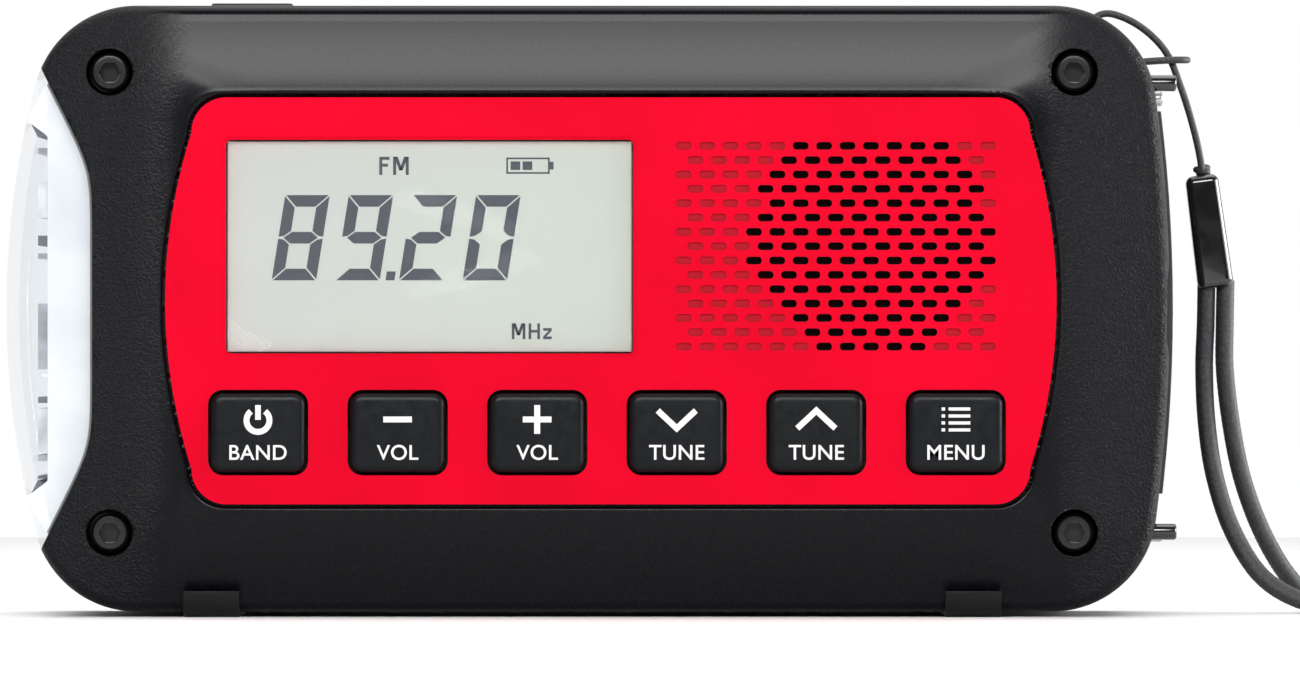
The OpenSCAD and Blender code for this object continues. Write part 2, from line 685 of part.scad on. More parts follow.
// Involute teeth, thinned by a backlash share, with the middle of one tooth at the angle phase
function flank(z, rho, rb) = let (t = sqrt(max(0, pow(rho / rb, 2) - 1)))
    90 / z * 0.86 + (tan(20) * 180 / PI - 20) - (t * 180 / PI - atan(t));
function gear_pts(z, phase) = let (
        r = gear_m * z / 2, rb = r * cos(20), ra = r + 0.75 * gear_m, rf = r - 1.05 * gear_m,
        up = [for (i = [0 : 4]) let (rho = max(rb, rf) + (ra - max(rb, rf)) * i / 4) [rho, flank(z, rho, rb)]])
    [for (k = [0 : z - 1]) let (c = phase + 360 * k / z) each concat(
        [rf * [cos(c - up[0][1] - 0.3), sin(c - up[0][1] - 0.3)]],
        [for (i = [0 : 4]) up[i][0] * [cos(c - up[i][1]), sin(c - up[i][1])]],
        [for (i = [4 : -1 : 0]) up[i][0] * [cos(c + up[i][1]), sin(c + up[i][1])]],
        [rf * [cos(c + up[0][1] + 0.3), sin(c + up[0][1] + 0.3)]])];
module gear(c, y, z, phase) {
    plate_y(y) translate(c) polygon(gear_pts(z, phase));
}
module drive_gear() {
    color("#e4e2da") difference() {
        gear([crank_x, crank_z], gear_y, teeth[0], idler_a);
        rod_y(crank_x, [0, rear_y], crank_z, shaft_d / 2);
    }
}
module idler_gear() {
    color("#e4e2da") difference() {
        union() {
            gear(idler, [idler_y[1], gear_y[1]], teeth[1], idler_a + 180 + 180 / teeth[1]);
            gear(idler, idler_y, teeth[2], 180);
        }
        rod_y(idler[0], [frame_y[1], rear_y], idler[1], 1 + running_fit);
    }
}
module gearbox_frame() {
    legs = [[crank_x - 18, crank_z + 13], [crank_x - 18, crank_z - 10], [crank_x + 21, crank_z - 5],
        [crank_x + 6, crank_z + 26]];
    color("#a9adb1") difference() {
        union() {
            plate_y(frame_y) polygon([legs[1] + [-3, -3], legs[2] + [3, -3], legs[2] + [3, 14],
                legs[3] + [14, 1], legs[3] + [-3, 3], legs[0] + [-3, 3]]);
            for (p = legs) rod_y(p[0], [frame_y[1] - 0.2, floor_back], p[1], 2);
            rod_y(idler[0], [frame_y[1] - 0.2, floor_back], idler[1], 1);
        }
        rod_y(rotor[0], [frame_y[0] - 1, frame_y[1] + 1], rotor[1], 1 + running_fit);
    }
}
module generator_rotor() {
    color("#6a6d72") {
        rod_y(rotor[0], [frame_y[0] - 9.4, frame_y[0] - 1.4], rotor[1], 7);
        rod_y(rotor[0], [frame_y[0] - 9.4, gear_y[0] - 1], rotor[1], 1);
        gear(rotor, idler_y, teeth[3], 180 / teeth[3]);
    }
}
module generator_can() {
    color("#b5b8bb") difference() {
        rod_y(rotor[0], [frame_y[0] - 11, frame_y[0]], rotor[1], 13.5);
        rod_y(rotor[0], [frame_y[0] - 9.8, frame_y[0] + 1], rotor[1], 12.4);
    }
}
module generator_coil() {
    color("#b5682c") difference() {
        rod_y(rotor[0], [frame_y[0] - 8.8, frame_y[0] - 1.8], rotor[1], 12.4);
        rod_y(rotor[0], [frame_y[0] - 10, frame_y[0]], rotor[1], 7.8);
    }
}

// Antenna: a turret that swivels in the ledge, a hinge and four telescopic stages
turret_z = ledge_z + gap;
mast_x = turret_x + 5;
tube_wall = 0.45;
tube_d = [for (i = [0 : 3]) mast_d - i * (2 * tube_wall + 2 * running_fit)];
module antenna_turret() {
    color("#1f2124") difference() {
        union() {
            rod_z(turret_x, mast_y, [turret_z, turret_z + 2], 4.2);
            rod_z(turret_x, mast_y, [stem_bottom + 0.4, turret_z], 2);
            for (s = [-1, 1]) intersection() {
                rod_z(turret_x, mast_y, [turret_z + 1, mast_z + 2.2], 4.2);
                slab([turret_x - 2.4, turret_x + 2.4], [mast_y + min(s * 1.6, s * 4.2), mast_y + max(s * 1.6, s * 4.2)],
                    [turret_z, mast_z + 2.2]);
            }
        }
        rod_y(turret_x, [mast_y - 5, mast_y + 5], mast_z, 0.75);
    }
}
module antenna_hinge_pin() {
    color("#c4c7ca") rod_y(turret_x, [mast_y - 3.4, mast_y + 3.4], mast_z, 0.75);
}
// One stage: a tube from x0 to x1, hollow where the next stage slides in it
module stage(i, x0, x1) {
    difference() {
        rod_x([x0, x1], mast_y, mast_z, tube_d[i] / 2);
        rod_x([x0 + 1.5, x1 + 1], mast_y, mast_z, tube_d[i] / 2 - tube_wall);
    }
}
module antenna_mast() {
    color("#d4d7da") difference() {
        union() {
            stage(0, mast_x, mast_x + mast_l);
            slab([turret_x, mast_x + 0.5], [mast_y - 1.3, mast_y + 1.3], [mast_z - 1.8, mast_z + 1.8]);
            rod_y(turret_x, [mast_y - 1.3, mast_y + 1.3], mast_z, 1.8);
        }
        rod_y(turret_x, [mast_y - 3, mast_y + 3], mast_z, 0.75 + running_fit);
    }
}
module antenna_tube_2() { color("#d4d7da") stage(1, mast_x + 3, mast_x + mast_l + 1); }
module antenna_tube_3() { color("#d4d7da") stage(2, mast_x + 5.5, mast_x + mast_l + 2); }
module antenna_tip() {
    color("#d4d7da") {
        rod_x([mast_x + 8, mast_x + mast_l + 3], mast_y, mast_z, tube_d[3] / 2);
        rod_x([mast_x + mast_l + 3, mast_x + mast_l + 7], mast_y, mast_z, mast_d / 2 - 0.2);
    }
}
ferrite_z = board_top - 1;
ferrite_y = board_y + board_t + 5;
module ferrite_rod() {
    color("#3a3c40") {
        rod_x([crank_x - 20, crank_x + 36], ferrite_y, ferrite_z, 3);
        for (x = [crank_x - 14, crank_x + 20])
            slab([x, x + 3], [board_y + board_t, ferrite_y], [ferrite_z - 3.5, ferrite_z + 1]);
    }
}
module ferrite_coil() {
    color("#b5682c") difference() {
        rod_x([crank_x - 4, crank_x + 10], ferrite_y, ferrite_z, 3.6);
        rod_x([crank_x - 5, crank_x + 11], ferrite_y, ferrite_z, 3);
    }
}

// Sockets on their upright board, with their mouths flush with the bezel
socket_x = bay_x - 0.2;
port_board_x = socket_x - 13.4;
usb_a = [12.5, 4.6];
usb_a_z = cover_z - 3;
usb_c_z = cover_z + 9.5;
jack_z = cover_z - 13.5;
socket_y = (bay_y[0] + bay_y[1]) / 2 - 0.5;
module shell_of(x, y, z, w, h, t) {
    difference() {
        slab(x, [y - h / 2 - t, y + h / 2 + t], [z - w / 2 - t, z + w / 2 + t]);
        slab([x[0] + 2, x[1] + 1], [y - h / 2, y + h / 2], [z - w / 2, z + w / 2]);
    }
}
module port_board() {
    color("#1f5d3a") slab([port_board_x - 1.4, port_board_x], [socket_y - 6, socket_y + 9],
        [cover_z - bay_h / 2, cover_z + bay_h / 2 + 1]);
}
module usb_c_socket() {
    color("#c9ccd0") {
        shell_of([port_board_x, socket_x], socket_y, usb_c_z, 8.4, 2.6, 0.35);
        slab([port_board_x + 1, socket_x - 0.8], [socket_y - 0.35, socket_y + 0.35], [usb_c_z - 3.3, usb_c_z + 3.3]);
    }
}
module usb_a_socket() {
    color("#c9ccd0") shell_of([port_board_x, socket_x], socket_y, usb_a_z, usb_a[0], usb_a[1], 0.4);
}
module audio_jack() {
    color("#1a1b1d") difference() {
        rod_x([port_board_x, socket_x], socket_y, jack_z, 3);
        rod_x([port_board_x + 2, socket_x + 1], socket_y, jack_z, 1.75);
    }
}
module port_bezel() {
    x = [socket_x - bezel_t, socket_x];
    color("#17181a") difference() {
        slab(x, [bay_y[0] - 2, bay_y[1] + 2], [cover_z - bay_h / 2 - 2, cover_z + bay_h / 2 + 2]);
        slab([0, far], [socket_y - 1.65, socket_y + 1.65], [usb_c_z - 4.55, usb_c_z + 4.55]);
        slab([0, far], [socket_y - usb_a[1] / 2 - 0.4, socket_y + usb_a[1] / 2 + 0.4],
            [usb_a_z - usb_a[0] / 2 - 0.4, usb_a_z + usb_a[0] / 2 + 0.4]);
        rod_x([0, far], socket_y, jack_z, 3);
    }
}
module port_cover() {
    z = [cover_z - cover_h / 2, cover_z + cover_h / 2];
    hz = [cover_z - hinge_h / 2, cover_z + hinge_h / 2];
    color("#222427") difference() {
        union() {
            intersection() {
                slab([bay_x, half_w + 2], [cover_front, cover_y - knuckle_r - gap], z);
                difference() {
                    bowed_block(0.5, z);
                    bowed_block(-1.3, z);
                }
            }
            rod_z(cover_x, cover_y, hz, knuckle_r);
            slab([cover_x - 0.9, cover_x + 0.9], [cover_y - knuckle_r - gap - 0.5, cover_y], hz);
        }
        rod_z(cover_x, cover_y, [0, top_z], pin_d / 2 + running_fit);
    }
}
module port_cover_pin() {
    color("#c4c7ca") rod_z(cover_x, cover_y, [cover_z - hinge_h / 2 - 3, cover_z + hinge_h / 2 + 3], pin_d / 2);
}
module end_posts() { color("#0d0e10") posts(); }
module rubber_feet() {
    color("#1d1e20") intersection() {
        body_form(-foot_h);
        foot_band();
    }
}

// Strap: the thin cord runs round the corner bar and back through its own bight
thin_half = [[80, 8.4, 56.4], [79.6, 8.4, 60], [78.4, 8.4, 65], [76.9, 8.4, 69.6], [75.5, 8.4, 73],
    [73.4, 8.4, 75.6], [70.6, 8.3, 77.6], [67.6, 8.2, 78.6], [65.6, 8, 77.8], [64.9, 7.8, 75.8], [65, 7.5, 73.9],
    [66, 7.3, 72.6], [68, 7.2, 72.2], [71, 7.2, 72.2], [74.2, 7.2, 72.4], [76.4, 7.4, 72.5], [77.6, 8, 72.5]];
thin_route = concat(thin_half, [[78, 9, 72.5]],
    [for (i = [len(thin_half) - 1 : -1 : 0]) [thin_half[i][0], 18 - thin_half[i][1], thin_half[i][2]]]);
loop_route = [[80.5, 9, 43.6], [80.4, 9, 38], [80.2, 9, 32], [80.5, 8.5, 25], [81.5, 7.3, 18], [83.7, 5.7, 11],
    [87.4, 3.8, 5], [92.5, 1.8, 1.8], [98, 1.2, 1.2], [104, 3, 1.2], [109, 8, 1.2], [112, 16, 1.2],
    [113.8, 26, 1.2], [114.5, 38, 1.2], [114, 50, 1.2], [111.5, 59.5, 1.2], [106.5, 64.9, 1.2], [101.5, 62.9, 1.2],
    [98.9, 55, 1.2], [98.2, 45, 1.2], [98.2, 35, 1.2], [97.9, 26, 1.2], [96.4, 18, 1.2], [93.6, 12.4, 2.4],
    [90.4, 10.2, 6], [87.4, 9.4, 11.5], [85.1, 9.1, 18], [83.7, 9, 25], [82.9, 9, 32], [82.9, 9, 38], [83, 9, 43.6]];
function tangent(p, i) = unit(p[min(i + 1, len(p) - 1)] - p[max(i - 1, 0)]);
function carried(p, i, n) = i >= len(p) ? [] :
    let (t = tangent(p, i), m = unit(n - (n * t) * t)) concat([m], carried(p, i + 1, m));
// A closed tube of eight sides along the points p
module tube(p, r) {
    sides = 8;
    normals = carried(p, 0, [0.1, 1, 0.2]);
    rings = len(p);
    points = [for (i = [0 : rings - 1]) let (n = normals[i], b = cross(tangent(p, i), n))
        for (k = [0 : sides - 1]) p[i] + r * (cos(360 * k / sides) * n + sin(360 * k / sides) * b)];
    walls = [for (i = [0 : rings - 2]) for (k = [0 : sides - 1]) let (j = (k + 1) % sides)
        [i * sides + k, (i + 1) * sides + k, (i + 1) * sides + j, i * sides + j]];
    ends = [[for (k = [0 : sides - 1]) k], [for (k = [sides - 1 : -1 : 0]) (rings - 1) * sides + k]];
    polyhedron(points, concat(walls, ends), convexity = 8);
}
module strap_thin_cord() { color("#0e0f11") tube(thin_route, thin_d / 2); }
module strap_loop() { color("#15171a") tube(loop_route, loop_d / 2); }
module strap_ferrule() {
    color("#1a1b1d") translate([80.8, 9, 50]) rotate([0, -7.5, 0]) cube([4.9, 5, 14.6], center = true);
}

front_shell();
rear_shell();
shell_seal();
faceplate();
lcd_window();
lcd_module();
main_board();
tact_switches();
key_band();
key_volume_down();
key_volume_up();
key_tune_down();
key_tune_up();
key_menu();
grille_cloth();
speaker_frame();
speaker_cone();
speaker_magnet();
housing_screws();
solar_cover();
solar_cells();
lamp_lens();
lamp_reflector();
lamp_board();
lamp_leds();
lamp_button();
button_board();
battery_cell();
battery_holder();
crank_well();
crank_bush();
crank_hub();
drive_gear();
crank_arm_pin();
crank_arm();
crank_knob();
gearbox_frame();
idler_gear();
generator_rotor();
generator_can();
generator_coil();
antenna_turret();
antenna_hinge_pin();
antenna_mast();
antenna_tube_2();
antenna_tube_3();
antenna_tip();
ferrite_rod();
ferrite_coil();
port_board();
usb_c_socket();
usb_a_socket();
audio_jack();
port_bezel();
port_cover();
port_cover_pin();
end_posts();
rubber_feet();
strap_thin_cord();
strap_ferrule();
strap_loop();
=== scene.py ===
import json
import math
import bmesh
import bpy
import numpy as np
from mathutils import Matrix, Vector


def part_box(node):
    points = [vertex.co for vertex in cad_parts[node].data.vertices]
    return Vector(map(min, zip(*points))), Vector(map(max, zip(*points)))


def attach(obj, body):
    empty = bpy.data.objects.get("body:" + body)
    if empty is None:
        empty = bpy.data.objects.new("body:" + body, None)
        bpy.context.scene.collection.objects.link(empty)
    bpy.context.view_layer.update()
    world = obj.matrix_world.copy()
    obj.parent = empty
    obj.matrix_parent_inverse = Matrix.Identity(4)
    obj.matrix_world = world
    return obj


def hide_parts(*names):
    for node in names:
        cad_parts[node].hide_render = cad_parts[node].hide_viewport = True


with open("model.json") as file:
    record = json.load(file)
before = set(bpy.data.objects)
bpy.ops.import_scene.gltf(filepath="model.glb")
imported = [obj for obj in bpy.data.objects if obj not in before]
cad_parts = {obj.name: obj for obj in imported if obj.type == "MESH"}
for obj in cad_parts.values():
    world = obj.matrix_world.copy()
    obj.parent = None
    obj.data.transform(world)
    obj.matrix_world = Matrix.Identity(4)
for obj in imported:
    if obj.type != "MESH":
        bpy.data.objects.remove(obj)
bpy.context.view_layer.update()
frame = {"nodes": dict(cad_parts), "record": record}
nodes = frame["nodes"]
MM = 0.001


# ---- Camera --------------------------------------------------------------------------------
# A long lens far in front of the radio, level, so that the front shows almost without
# perspective. The view is framed a little to the right, to take in the strap.
view_width = 167.7 * MM
view_centre = (7.5 * MM, 35.9 * MM)
front_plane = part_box("faceplate")[0][1]
camera_distance = 1.9
camera_data = bpy.data.cameras.new("camera")
camera_data.sensor_width = 36
camera_data.lens = camera_data.sensor_width * camera_distance / view_width
camera_data.clip_end = 20
camera = bpy.data.objects.new("camera", camera_data)
camera.location = (view_centre[0], front_plane - camera_distance, view_centre[1])
camera.rotation_euler = (math.radians(90), 0, 0)
bpy.context.collection.objects.link(camera)
bpy.context.scene.camera = camera


# ---- Wrist strap ---------------------------------------------------------------------------
# A thin twisted polyester cord looped through the corner eyelet and back through itself, and
# a thicker braided wrist loop. A glossy moulded ferrule crimps both. The loop hangs down and
# lies on the surface that the radio stands on.
thin_d, loop_d = 0.9 * MM, 2.4 * MM
THIN_HALF = [(80, 8.4, 56.4), (79.6, 8.4, 60), (78.4, 8.4, 65), (76.9, 8.4, 69.6), (75.5, 8.4, 73),
             (73.4, 8.4, 75.6), (70.6, 8.3, 77.6), (67.6, 8.2, 78.6), (65.6, 8, 77.8), (64.9, 7.8, 75.8),
             (65, 7.5, 73.9), (66, 7.3, 72.6), (68, 7.2, 72.2), (71, 7.2, 72.2), (74.2, 7.2, 72.4),
             (76.4, 7.4, 72.5), (77.6, 8, 72.5)]
THIN_ROUTE = THIN_HALF + [(78, 9, 72.5)] + [(x, 18 - y, z) for x, y, z in reversed(THIN_HALF)]
LOOP_ROUTE = [(80.5, 9, 43.6), (80.4, 9, 38), (80.2, 9, 32), (80.5, 8.5, 25), (81.5, 7.3, 18),
              (83.7, 5.7, 11), (87.4, 3.8, 5), (92.5, 1.8, 1.8), (98, 1.2, 1.2), (104, 3, 1.2),
              (109, 8, 1.2), (112, 16, 1.2), (113.8, 26, 1.2), (114.5, 38, 1.2), (114, 50, 1.2),
              (111.5, 59.5, 1.2), (106.5, 64.9, 1.2), (101.5, 62.9, 1.2), (98.9, 55, 1.2),
              (98.2, 45, 1.2), (98.2, 35, 1.2), (97.9, 26, 1.2), (96.4, 18, 1.2), (93.6, 12.4, 2.4),
              (90.4, 10.2, 6), (87.4, 9.4, 11.5), (85.1, 9.1, 18), (83.7, 9, 25), (82.9, 9, 32),
              (82.9, 9, 38), (83, 9, 43.6)]


def smooth_route(points, step):
    """Points about one step apart on the Catmull-Rom curve through the given ones: on each span,
    the cubic whose ends have half the vector between their neighbours as slope."""
    p = np.array(points, float) * MM
    p = np.vstack([2 * p[0] - p[1], p, 2 * p[-1] - p[-2]])
    spans = []
    for a, b, c, d in zip(p[:-3], p[1:-2], p[2:-1], p[3:]):
        t = np.linspace(0, 1, max(2, int(np.linalg.norm(c - b) / step)), endpoint=False)[:, None]
        spans.append(0.5 * (2 * b + (c - a) * t + (2 * a - 5 * b + 4 * c - d) * t ** 2
                            + (3 * b - a - 3 * c + d) * t ** 3))
    return np.vstack([*spans, p[-2:-1]])


def along(path):
    """Unit tangents of the path, and two unit normals carried along it without twist."""
    tangent = np.gradient(path, axis=0)
    tangent /= np.linalg.norm(tangent, axis=1)[:, None]
    normal = np.empty_like(tangent)
    n = np.array([0.1, 1, 0.2])
    for i, t in enumerate(tangent):
        n = n - (n @ t) * t
        n /= np.linalg.norm(n)
        normal[i] = n
    return tangent, normal, np.cross(tangent, normal)


def grid_mesh(name, points, wrap_u=False, caps=(False, False), uv=None):
    """A mesh of quads on the grid points[u, v], closed along v and, where asked, along u, with the
    first and the last row capped by one polygon where asked."""
    rows, columns = points.shape[:2]
    u = np.arange(rows if wrap_u else rows - 1)
    v = np.arange(columns)
    a = (u[:, None] * columns + v).ravel()
    b = (u[:, None] * columns + (v + 1) % columns).ravel()
    c = (((u + 1) % rows)[:, None] * columns + (v + 1) % columns).ravel()
    d = (((u + 1) % rows)[:, None] * columns + v).ravel()
    faces = np.stack([a, b, c, d], 1).tolist()
    if caps[0]:
        faces.append(list(range(columns))[::-1])
    if caps[1]:
        faces.append([(rows - 1) * columns + k for k in range(columns)])
    mesh = bpy.data.meshes.new(name)
    mesh.from_pydata(points.reshape(-1, 3).tolist(), [], faces)
    if uv is not None:
        layer = mesh.uv_layers.new(name="UVMap")
        loops = np.empty(len(mesh.loops), np.int32)
        mesh.loops.foreach_get("vertex_index", loops)
        layer.data.foreach_set("uv", uv.reshape(-1, 2)[loops].ravel())
    mesh.polygons.foreach_set("use_smooth", [True] * len(mesh.polygons))
    mesh.validate()
    piece = bpy.data.objects.new(name, mesh)
    bpy.context.collection.objects.link(piece)
    return piece


def outward(piece, smooth=True):
    """Turns the faces of a closed piece outwards, and shades them smooth or flat."""
    b = bmesh.new()
    b.from_mesh(piece.data)
    bmesh.ops.remove_doubles(b, verts=b.verts, dist=1e-7)
    bmesh.ops.recalc_face_normals(b, faces=b.faces)
    b.to_mesh(piece.data)
    b.free()
    piece.data.polygons.foreach_set("use_smooth", [smooth] * len(piece.data.polygons))
    return piece


def braided_tube(name, path, radius, sides, relief, lay, strands):
    """A tube round the path whose radius swells over the strands: two families of helical waves,
    turning opposite ways and crossing every lay metres, and the higher of the two shows."""
    tangent, normal, side = along(path)
    s = np.concatenate([[0], np.cumsum(np.linalg.norm(np.diff(path, axis=0), axis=1))])[:, None]
    a = np.linspace(0, 2 * np.pi, sides, endpoint=False)[None, :]
    wave = [np.abs(np.cos(strands / 2 * (a + sign * 2 * np.pi * s / lay))) for sign in (-1, 1)]
    r = radius * (1 - relief + relief * np.maximum(*wave) ** 0.8)
    ring = np.cos(a)[..., None] * normal[:, None] + np.sin(a)[..., None] * side[:, None]
    uv = np.stack(np.broadcast_arrays(s / (2 * np.pi * radius), a / (2 * np.pi)), -1)
    return outward(grid_mesh(name, path[:, None] + r[..., None] * ring, caps=(True, True), uv=uv))


def new_material(name, color, roughness, **sockets):
    """A Principled material with constants on its sockets. Returns it with its node tree and shader."""
    material = bpy.data.materials.new(name)
    material.use_nodes = True
    tree = material.node_tree
    shader = tree.nodes["Principled BSDF"]
    shader.inputs["Base Color"].default_value = (*color, 1)
    shader.inputs["Roughness"].default_value = roughness
    for socket, value in sockets.items():
        shader.inputs[socket.replace("_", " ")].default_value = value
    return material, tree, shader


def object_noise(tree, scale, detail=3.0, roughness=0.55):
    """A noise texture on Object coordinates. Its scale is in cells a metre."""
    place = tree.nodes.new("ShaderNodeTexCoord")
    noise = tree.nodes.new("ShaderNodeTexNoise")
    noise.inputs["Scale"].default_value = scale
    noise.inputs["Detail"].default_value = detail
    noise.inputs["Roughness"].default_value = roughness
    tree.links.new(place.outputs["Object"], noise.inputs["Vector"])
    return noise


def grain(tree, shader, scale, distance, strength=1.0, detail=3.0):
    """Fine moulded grain as bump, its depth in metres."""
    noise = object_noise(tree, scale, detail)
    bump = tree.nodes.new("ShaderNodeBump")
    bump.inputs["Strength"].default_value = strength
    bump.inputs["Distance"].default_value = distance
    tree.links.new(noise.outputs["Fac"], bump.inputs["Height"])
    tree.links.new(bump.outputs["Normal"], shader.inputs["Normal"])
    return noise


def ramp(tree, source, low, high, start=0.35, end=0.65):
    """Maps a noise to a colour or grey between low and high."""
    node = tree.nodes.new("ShaderNodeValToRGB")
    node.color_ramp.elements[0].position = start
    node.color_ramp.elements[1].position = end
    node.color_ramp.elements[0].color = (*low, 1)
    node.color_ramp.elements[1].color = (*high, 1)
    tree.links.new(source, node.inputs["Fac"])
    return node.outputs["Color"]


def dress(piece, material):
    """Gives a piece, or a CAD node's object, one material."""
    piece.data.materials.clear()
    piece.data.materials.append(material)
    return piece


def rounded_box(name, centre, size, radius, tilt=0.0, taper=0.0, n=40):
    """A superellipsoid-like box: the unit sphere's direction d on a latitude grid is pushed to a
    core box and then moved radius along d, so that all edges have that radius. Its width
    grows by the share taper from top to bottom, and it turns by tilt about Y."""
    lat = np.linspace(-np.pi / 2, np.pi / 2, n)[:, None]
    lon = (np.linspace(0, 2 * np.pi, 2 * n, endpoint=False) + np.pi / 2 / n)[None, :]
    d = np.stack(np.broadcast_arrays(np.cos(lat) * np.cos(lon), np.cos(lat) * np.sin(lon), np.sin(lat)), -1)
    half = np.array(size) / 2
    core = np.sign(d) * (half - radius)
    p = core + radius * d
    p[..., 0] *= 1 - taper * p[..., 2] / half[2]
    c, s = math.cos(tilt), math.sin(tilt)
    turned = np.stack([c * p[..., 0] + s * p[..., 2], p[..., 1], -s * p[..., 0] + c * p[..., 2]], -1)
    piece = grid_mesh(name, turned + np.array(centre), caps=(True, True))
    return outward(piece)


gloss_material, tree, shader = new_material("gloss_moulding", (0.008, 0.008, 0.009), 0.12, Coat_Weight=0.4)
smudge = object_noise(tree, 420)
tree.links.new(ramp(tree, smudge.outputs["Fac"], (0.1,) * 3, (0.2,) * 3), shader.inputs["Roughness"])
ferrule = rounded_box("ferrule", (80.75 * MM, 9 * MM, 50 * MM), (4.5 * MM, 4.8 * MM, 14.9 * MM), 1.05 * MM,
                      tilt=math.radians(-7.5), taper=0.05)
dress(ferrule, gloss_material)
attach(ferrule, "housing")
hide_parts("strap_ferrule")

cord_material, tree, shader = new_material("braided_polyester", (0.008, 0.0085, 0.01), 0.62,
                                           Sheen_Weight=0.12, Sheen_Roughness=0.4)
fibre = grain(tree, shader, 2600, 0.06 * MM, 0.8)
tree.links.new(ramp(tree, fibre.outputs["Fac"], (0.006, 0.006, 0.007), (0.03, 0.032, 0.036)),
               shader.inputs["Base Color"])

knot_turn = np.linspace(0, 4.6 * np.pi, 150)
knot_r = 0.62 * MM + 0.2 * MM * np.sin(knot_turn * 1.5)
knot = np.stack([79.95 * MM + knot_r * np.cos(knot_turn), 9 * MM + knot_r * np.sin(knot_turn),
                 57.4 * MM + 1.1 * MM * knot_turn / knot_turn[-1]], 1)
knot = dress(braided_tube("ferrule_knot", knot, 0.42 * MM, 12, 0.16, 1.3 * MM, 4), cord_material)
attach(knot, "housing")

thin_path = smooth_route(THIN_ROUTE, 0.16 * MM)
thin_cord = dress(braided_tube("thin_cord", thin_path, thin_d / 2, 14, 0.16, 1.3 * MM, 4), cord_material)
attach(thin_cord, "housing")
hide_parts("strap_thin_cord")

loop_path = smooth_route(LOOP_ROUTE, 0.2 * MM)
wrist_loop = dress(braided_tube("wrist_loop", loop_path, loop_d / 2, 28, 0.13, 5.4 * MM, 10), cord_material)
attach(wrist_loop, "housing")
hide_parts("strap_loop")


# ---- Front shell ---------------------------------------------------------------------------
# The front half of the case, injection moulded in black glass-filled nylon. Its frame slopes
# back from the faceplate to a rounded edge, has a sunk screw in each corner, and is cut away at
# the left for the lamp. The slopes above and below the faceplate are polished in the mould and
# the rest is finely grained.
plate_lo, plate_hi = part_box("faceplate")
shell_lo, shell_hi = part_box("front_shell")
lens_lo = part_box("lamp_lens")[0]
rear_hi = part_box("rear_shell")[1]
left_x, right_x = lens_lo[0], shell_hi[0]
base_z, top_z = shell_lo[2], shell_hi[2]
mid_z = (base_z + top_z) / 2
front_y, split_y, rear_y = shell_lo[1], shell_hi[1], rear_hi[1]
bow_right, bow_left, corner_r = 210 * MM, 114 * MM, 13.5 * MM
lens_in, lens_edge, lens_flat, lens_reach = 11.2 * MM, 4.2 * MM, 17.8 * MM, 31.7 * MM
plate_bow, plate_r = 3.4 * MM, 4.5 * MM


def circle_arc(centre, radius, start, end, count):
    """Points on a circle from one angle to another, in degrees, the last one left out."""
    a = np.radians(np.linspace(start, end, count, endpoint=False))[:, None]
    return np.array(centre) + radius * np.hstack([np.cos(a), np.sin(a)])


def body_outline(inset, count=40):
    """The case's front outline in X and Z, moved inwards: two bowed ends of large radius, joined
    tangentially to flat top and bottom by four corner arcs."""
    dz = (top_z - base_z) / 2 - corner_r
    right_c = np.array([right_x - bow_right, mid_z])
    left_c = np.array([left_x + bow_left, mid_z])
    crx = right_c[0] + math.sqrt((bow_right - corner_r) ** 2 - dz ** 2)
    clx = left_c[0] - math.sqrt((bow_left - corner_r) ** 2 - dz ** 2)
    pr = math.degrees(math.atan2(dz, crx - right_c[0]))
    pl = math.degrees(math.atan2(dz, left_c[0] - clx))
    r = corner_r - inset
    flat = np.linspace(0, 1, 2 * count, endpoint=False)[:, None]

    def straight(a, b):
        return np.array(a) + flat * (np.array(b) - np.array(a))
    return np.vstack([
        circle_arc(right_c, bow_right - inset, -pr, pr, count),
        circle_arc((crx, mid_z + dz), r, pr, 90, count),
        straight((crx, top_z - inset), (clx, top_z - inset)),
        circle_arc((clx, mid_z + dz), r, 90, 180 - pl, count),
        circle_arc(left_c, bow_left - inset, 180 - pl, 180 + pl, count),
        circle_arc((clx, mid_z - dz), r, 180 + pl, 270, count),
        straight((clx, base_z + inset), (crx, base_z + inset)),
        circle_arc((crx, mid_z - dz), r, 270, 360 - pr, count)])


def plate_outline(grow, count=16):
    """The faceplate's outline in X and Z, grown by the given amount: parabolic ends that bow
    outwards, rounded corners, flat top and bottom."""
    x = (plate_lo[0] + plate_hi[0]) / 2
    z = (plate_lo[2] + plate_hi[2]) / 2
    w, h = (plate_hi[0] - plate_lo[0]) / 2, (plate_hi[2] - plate_lo[2]) / 2
    t = np.linspace(-1, 1, 2 * count)[:, None]
    side = np.hstack([w + grow - plate_bow * t ** 2, t * (h - plate_r)])
    corner = circle_arc((w - plate_bow - plate_r, h - plate_r), plate_r + grow, 8, 90, count)
    flat = np.hstack([np.linspace(1, -1, 4 * count)[:, None] * (w - plate_bow - plate_r),
                      np.full((4 * count, 1), h + grow)])
    half = np.vstack([side, corner, flat, (corner * (-1, 1))[::-1]])
    return np.vstack([half, -half]) + (x, z)


def at_angles(outline, centre, angles):
    """The points where rays from the centre, at the given angles, meet a closed outline: its
    radius is interpolated over its polar angle."""
    d = outline - centre
    a = np.unwrap(np.arctan2(d[:, 1], d[:, 0]))
    r = np.linalg.norm(d, axis=1)
    order = np.argsort(a)
    a, r = a[order], r[order]
    a, r = np.concatenate([a - 2 * np.pi, a, a + 2 * np.pi]), np.tile(r, 3)
    radius = np.interp(angles, a, r)[:, None]
    return centre + radius * np.stack([np.cos(angles), np.sin(angles)], 1)


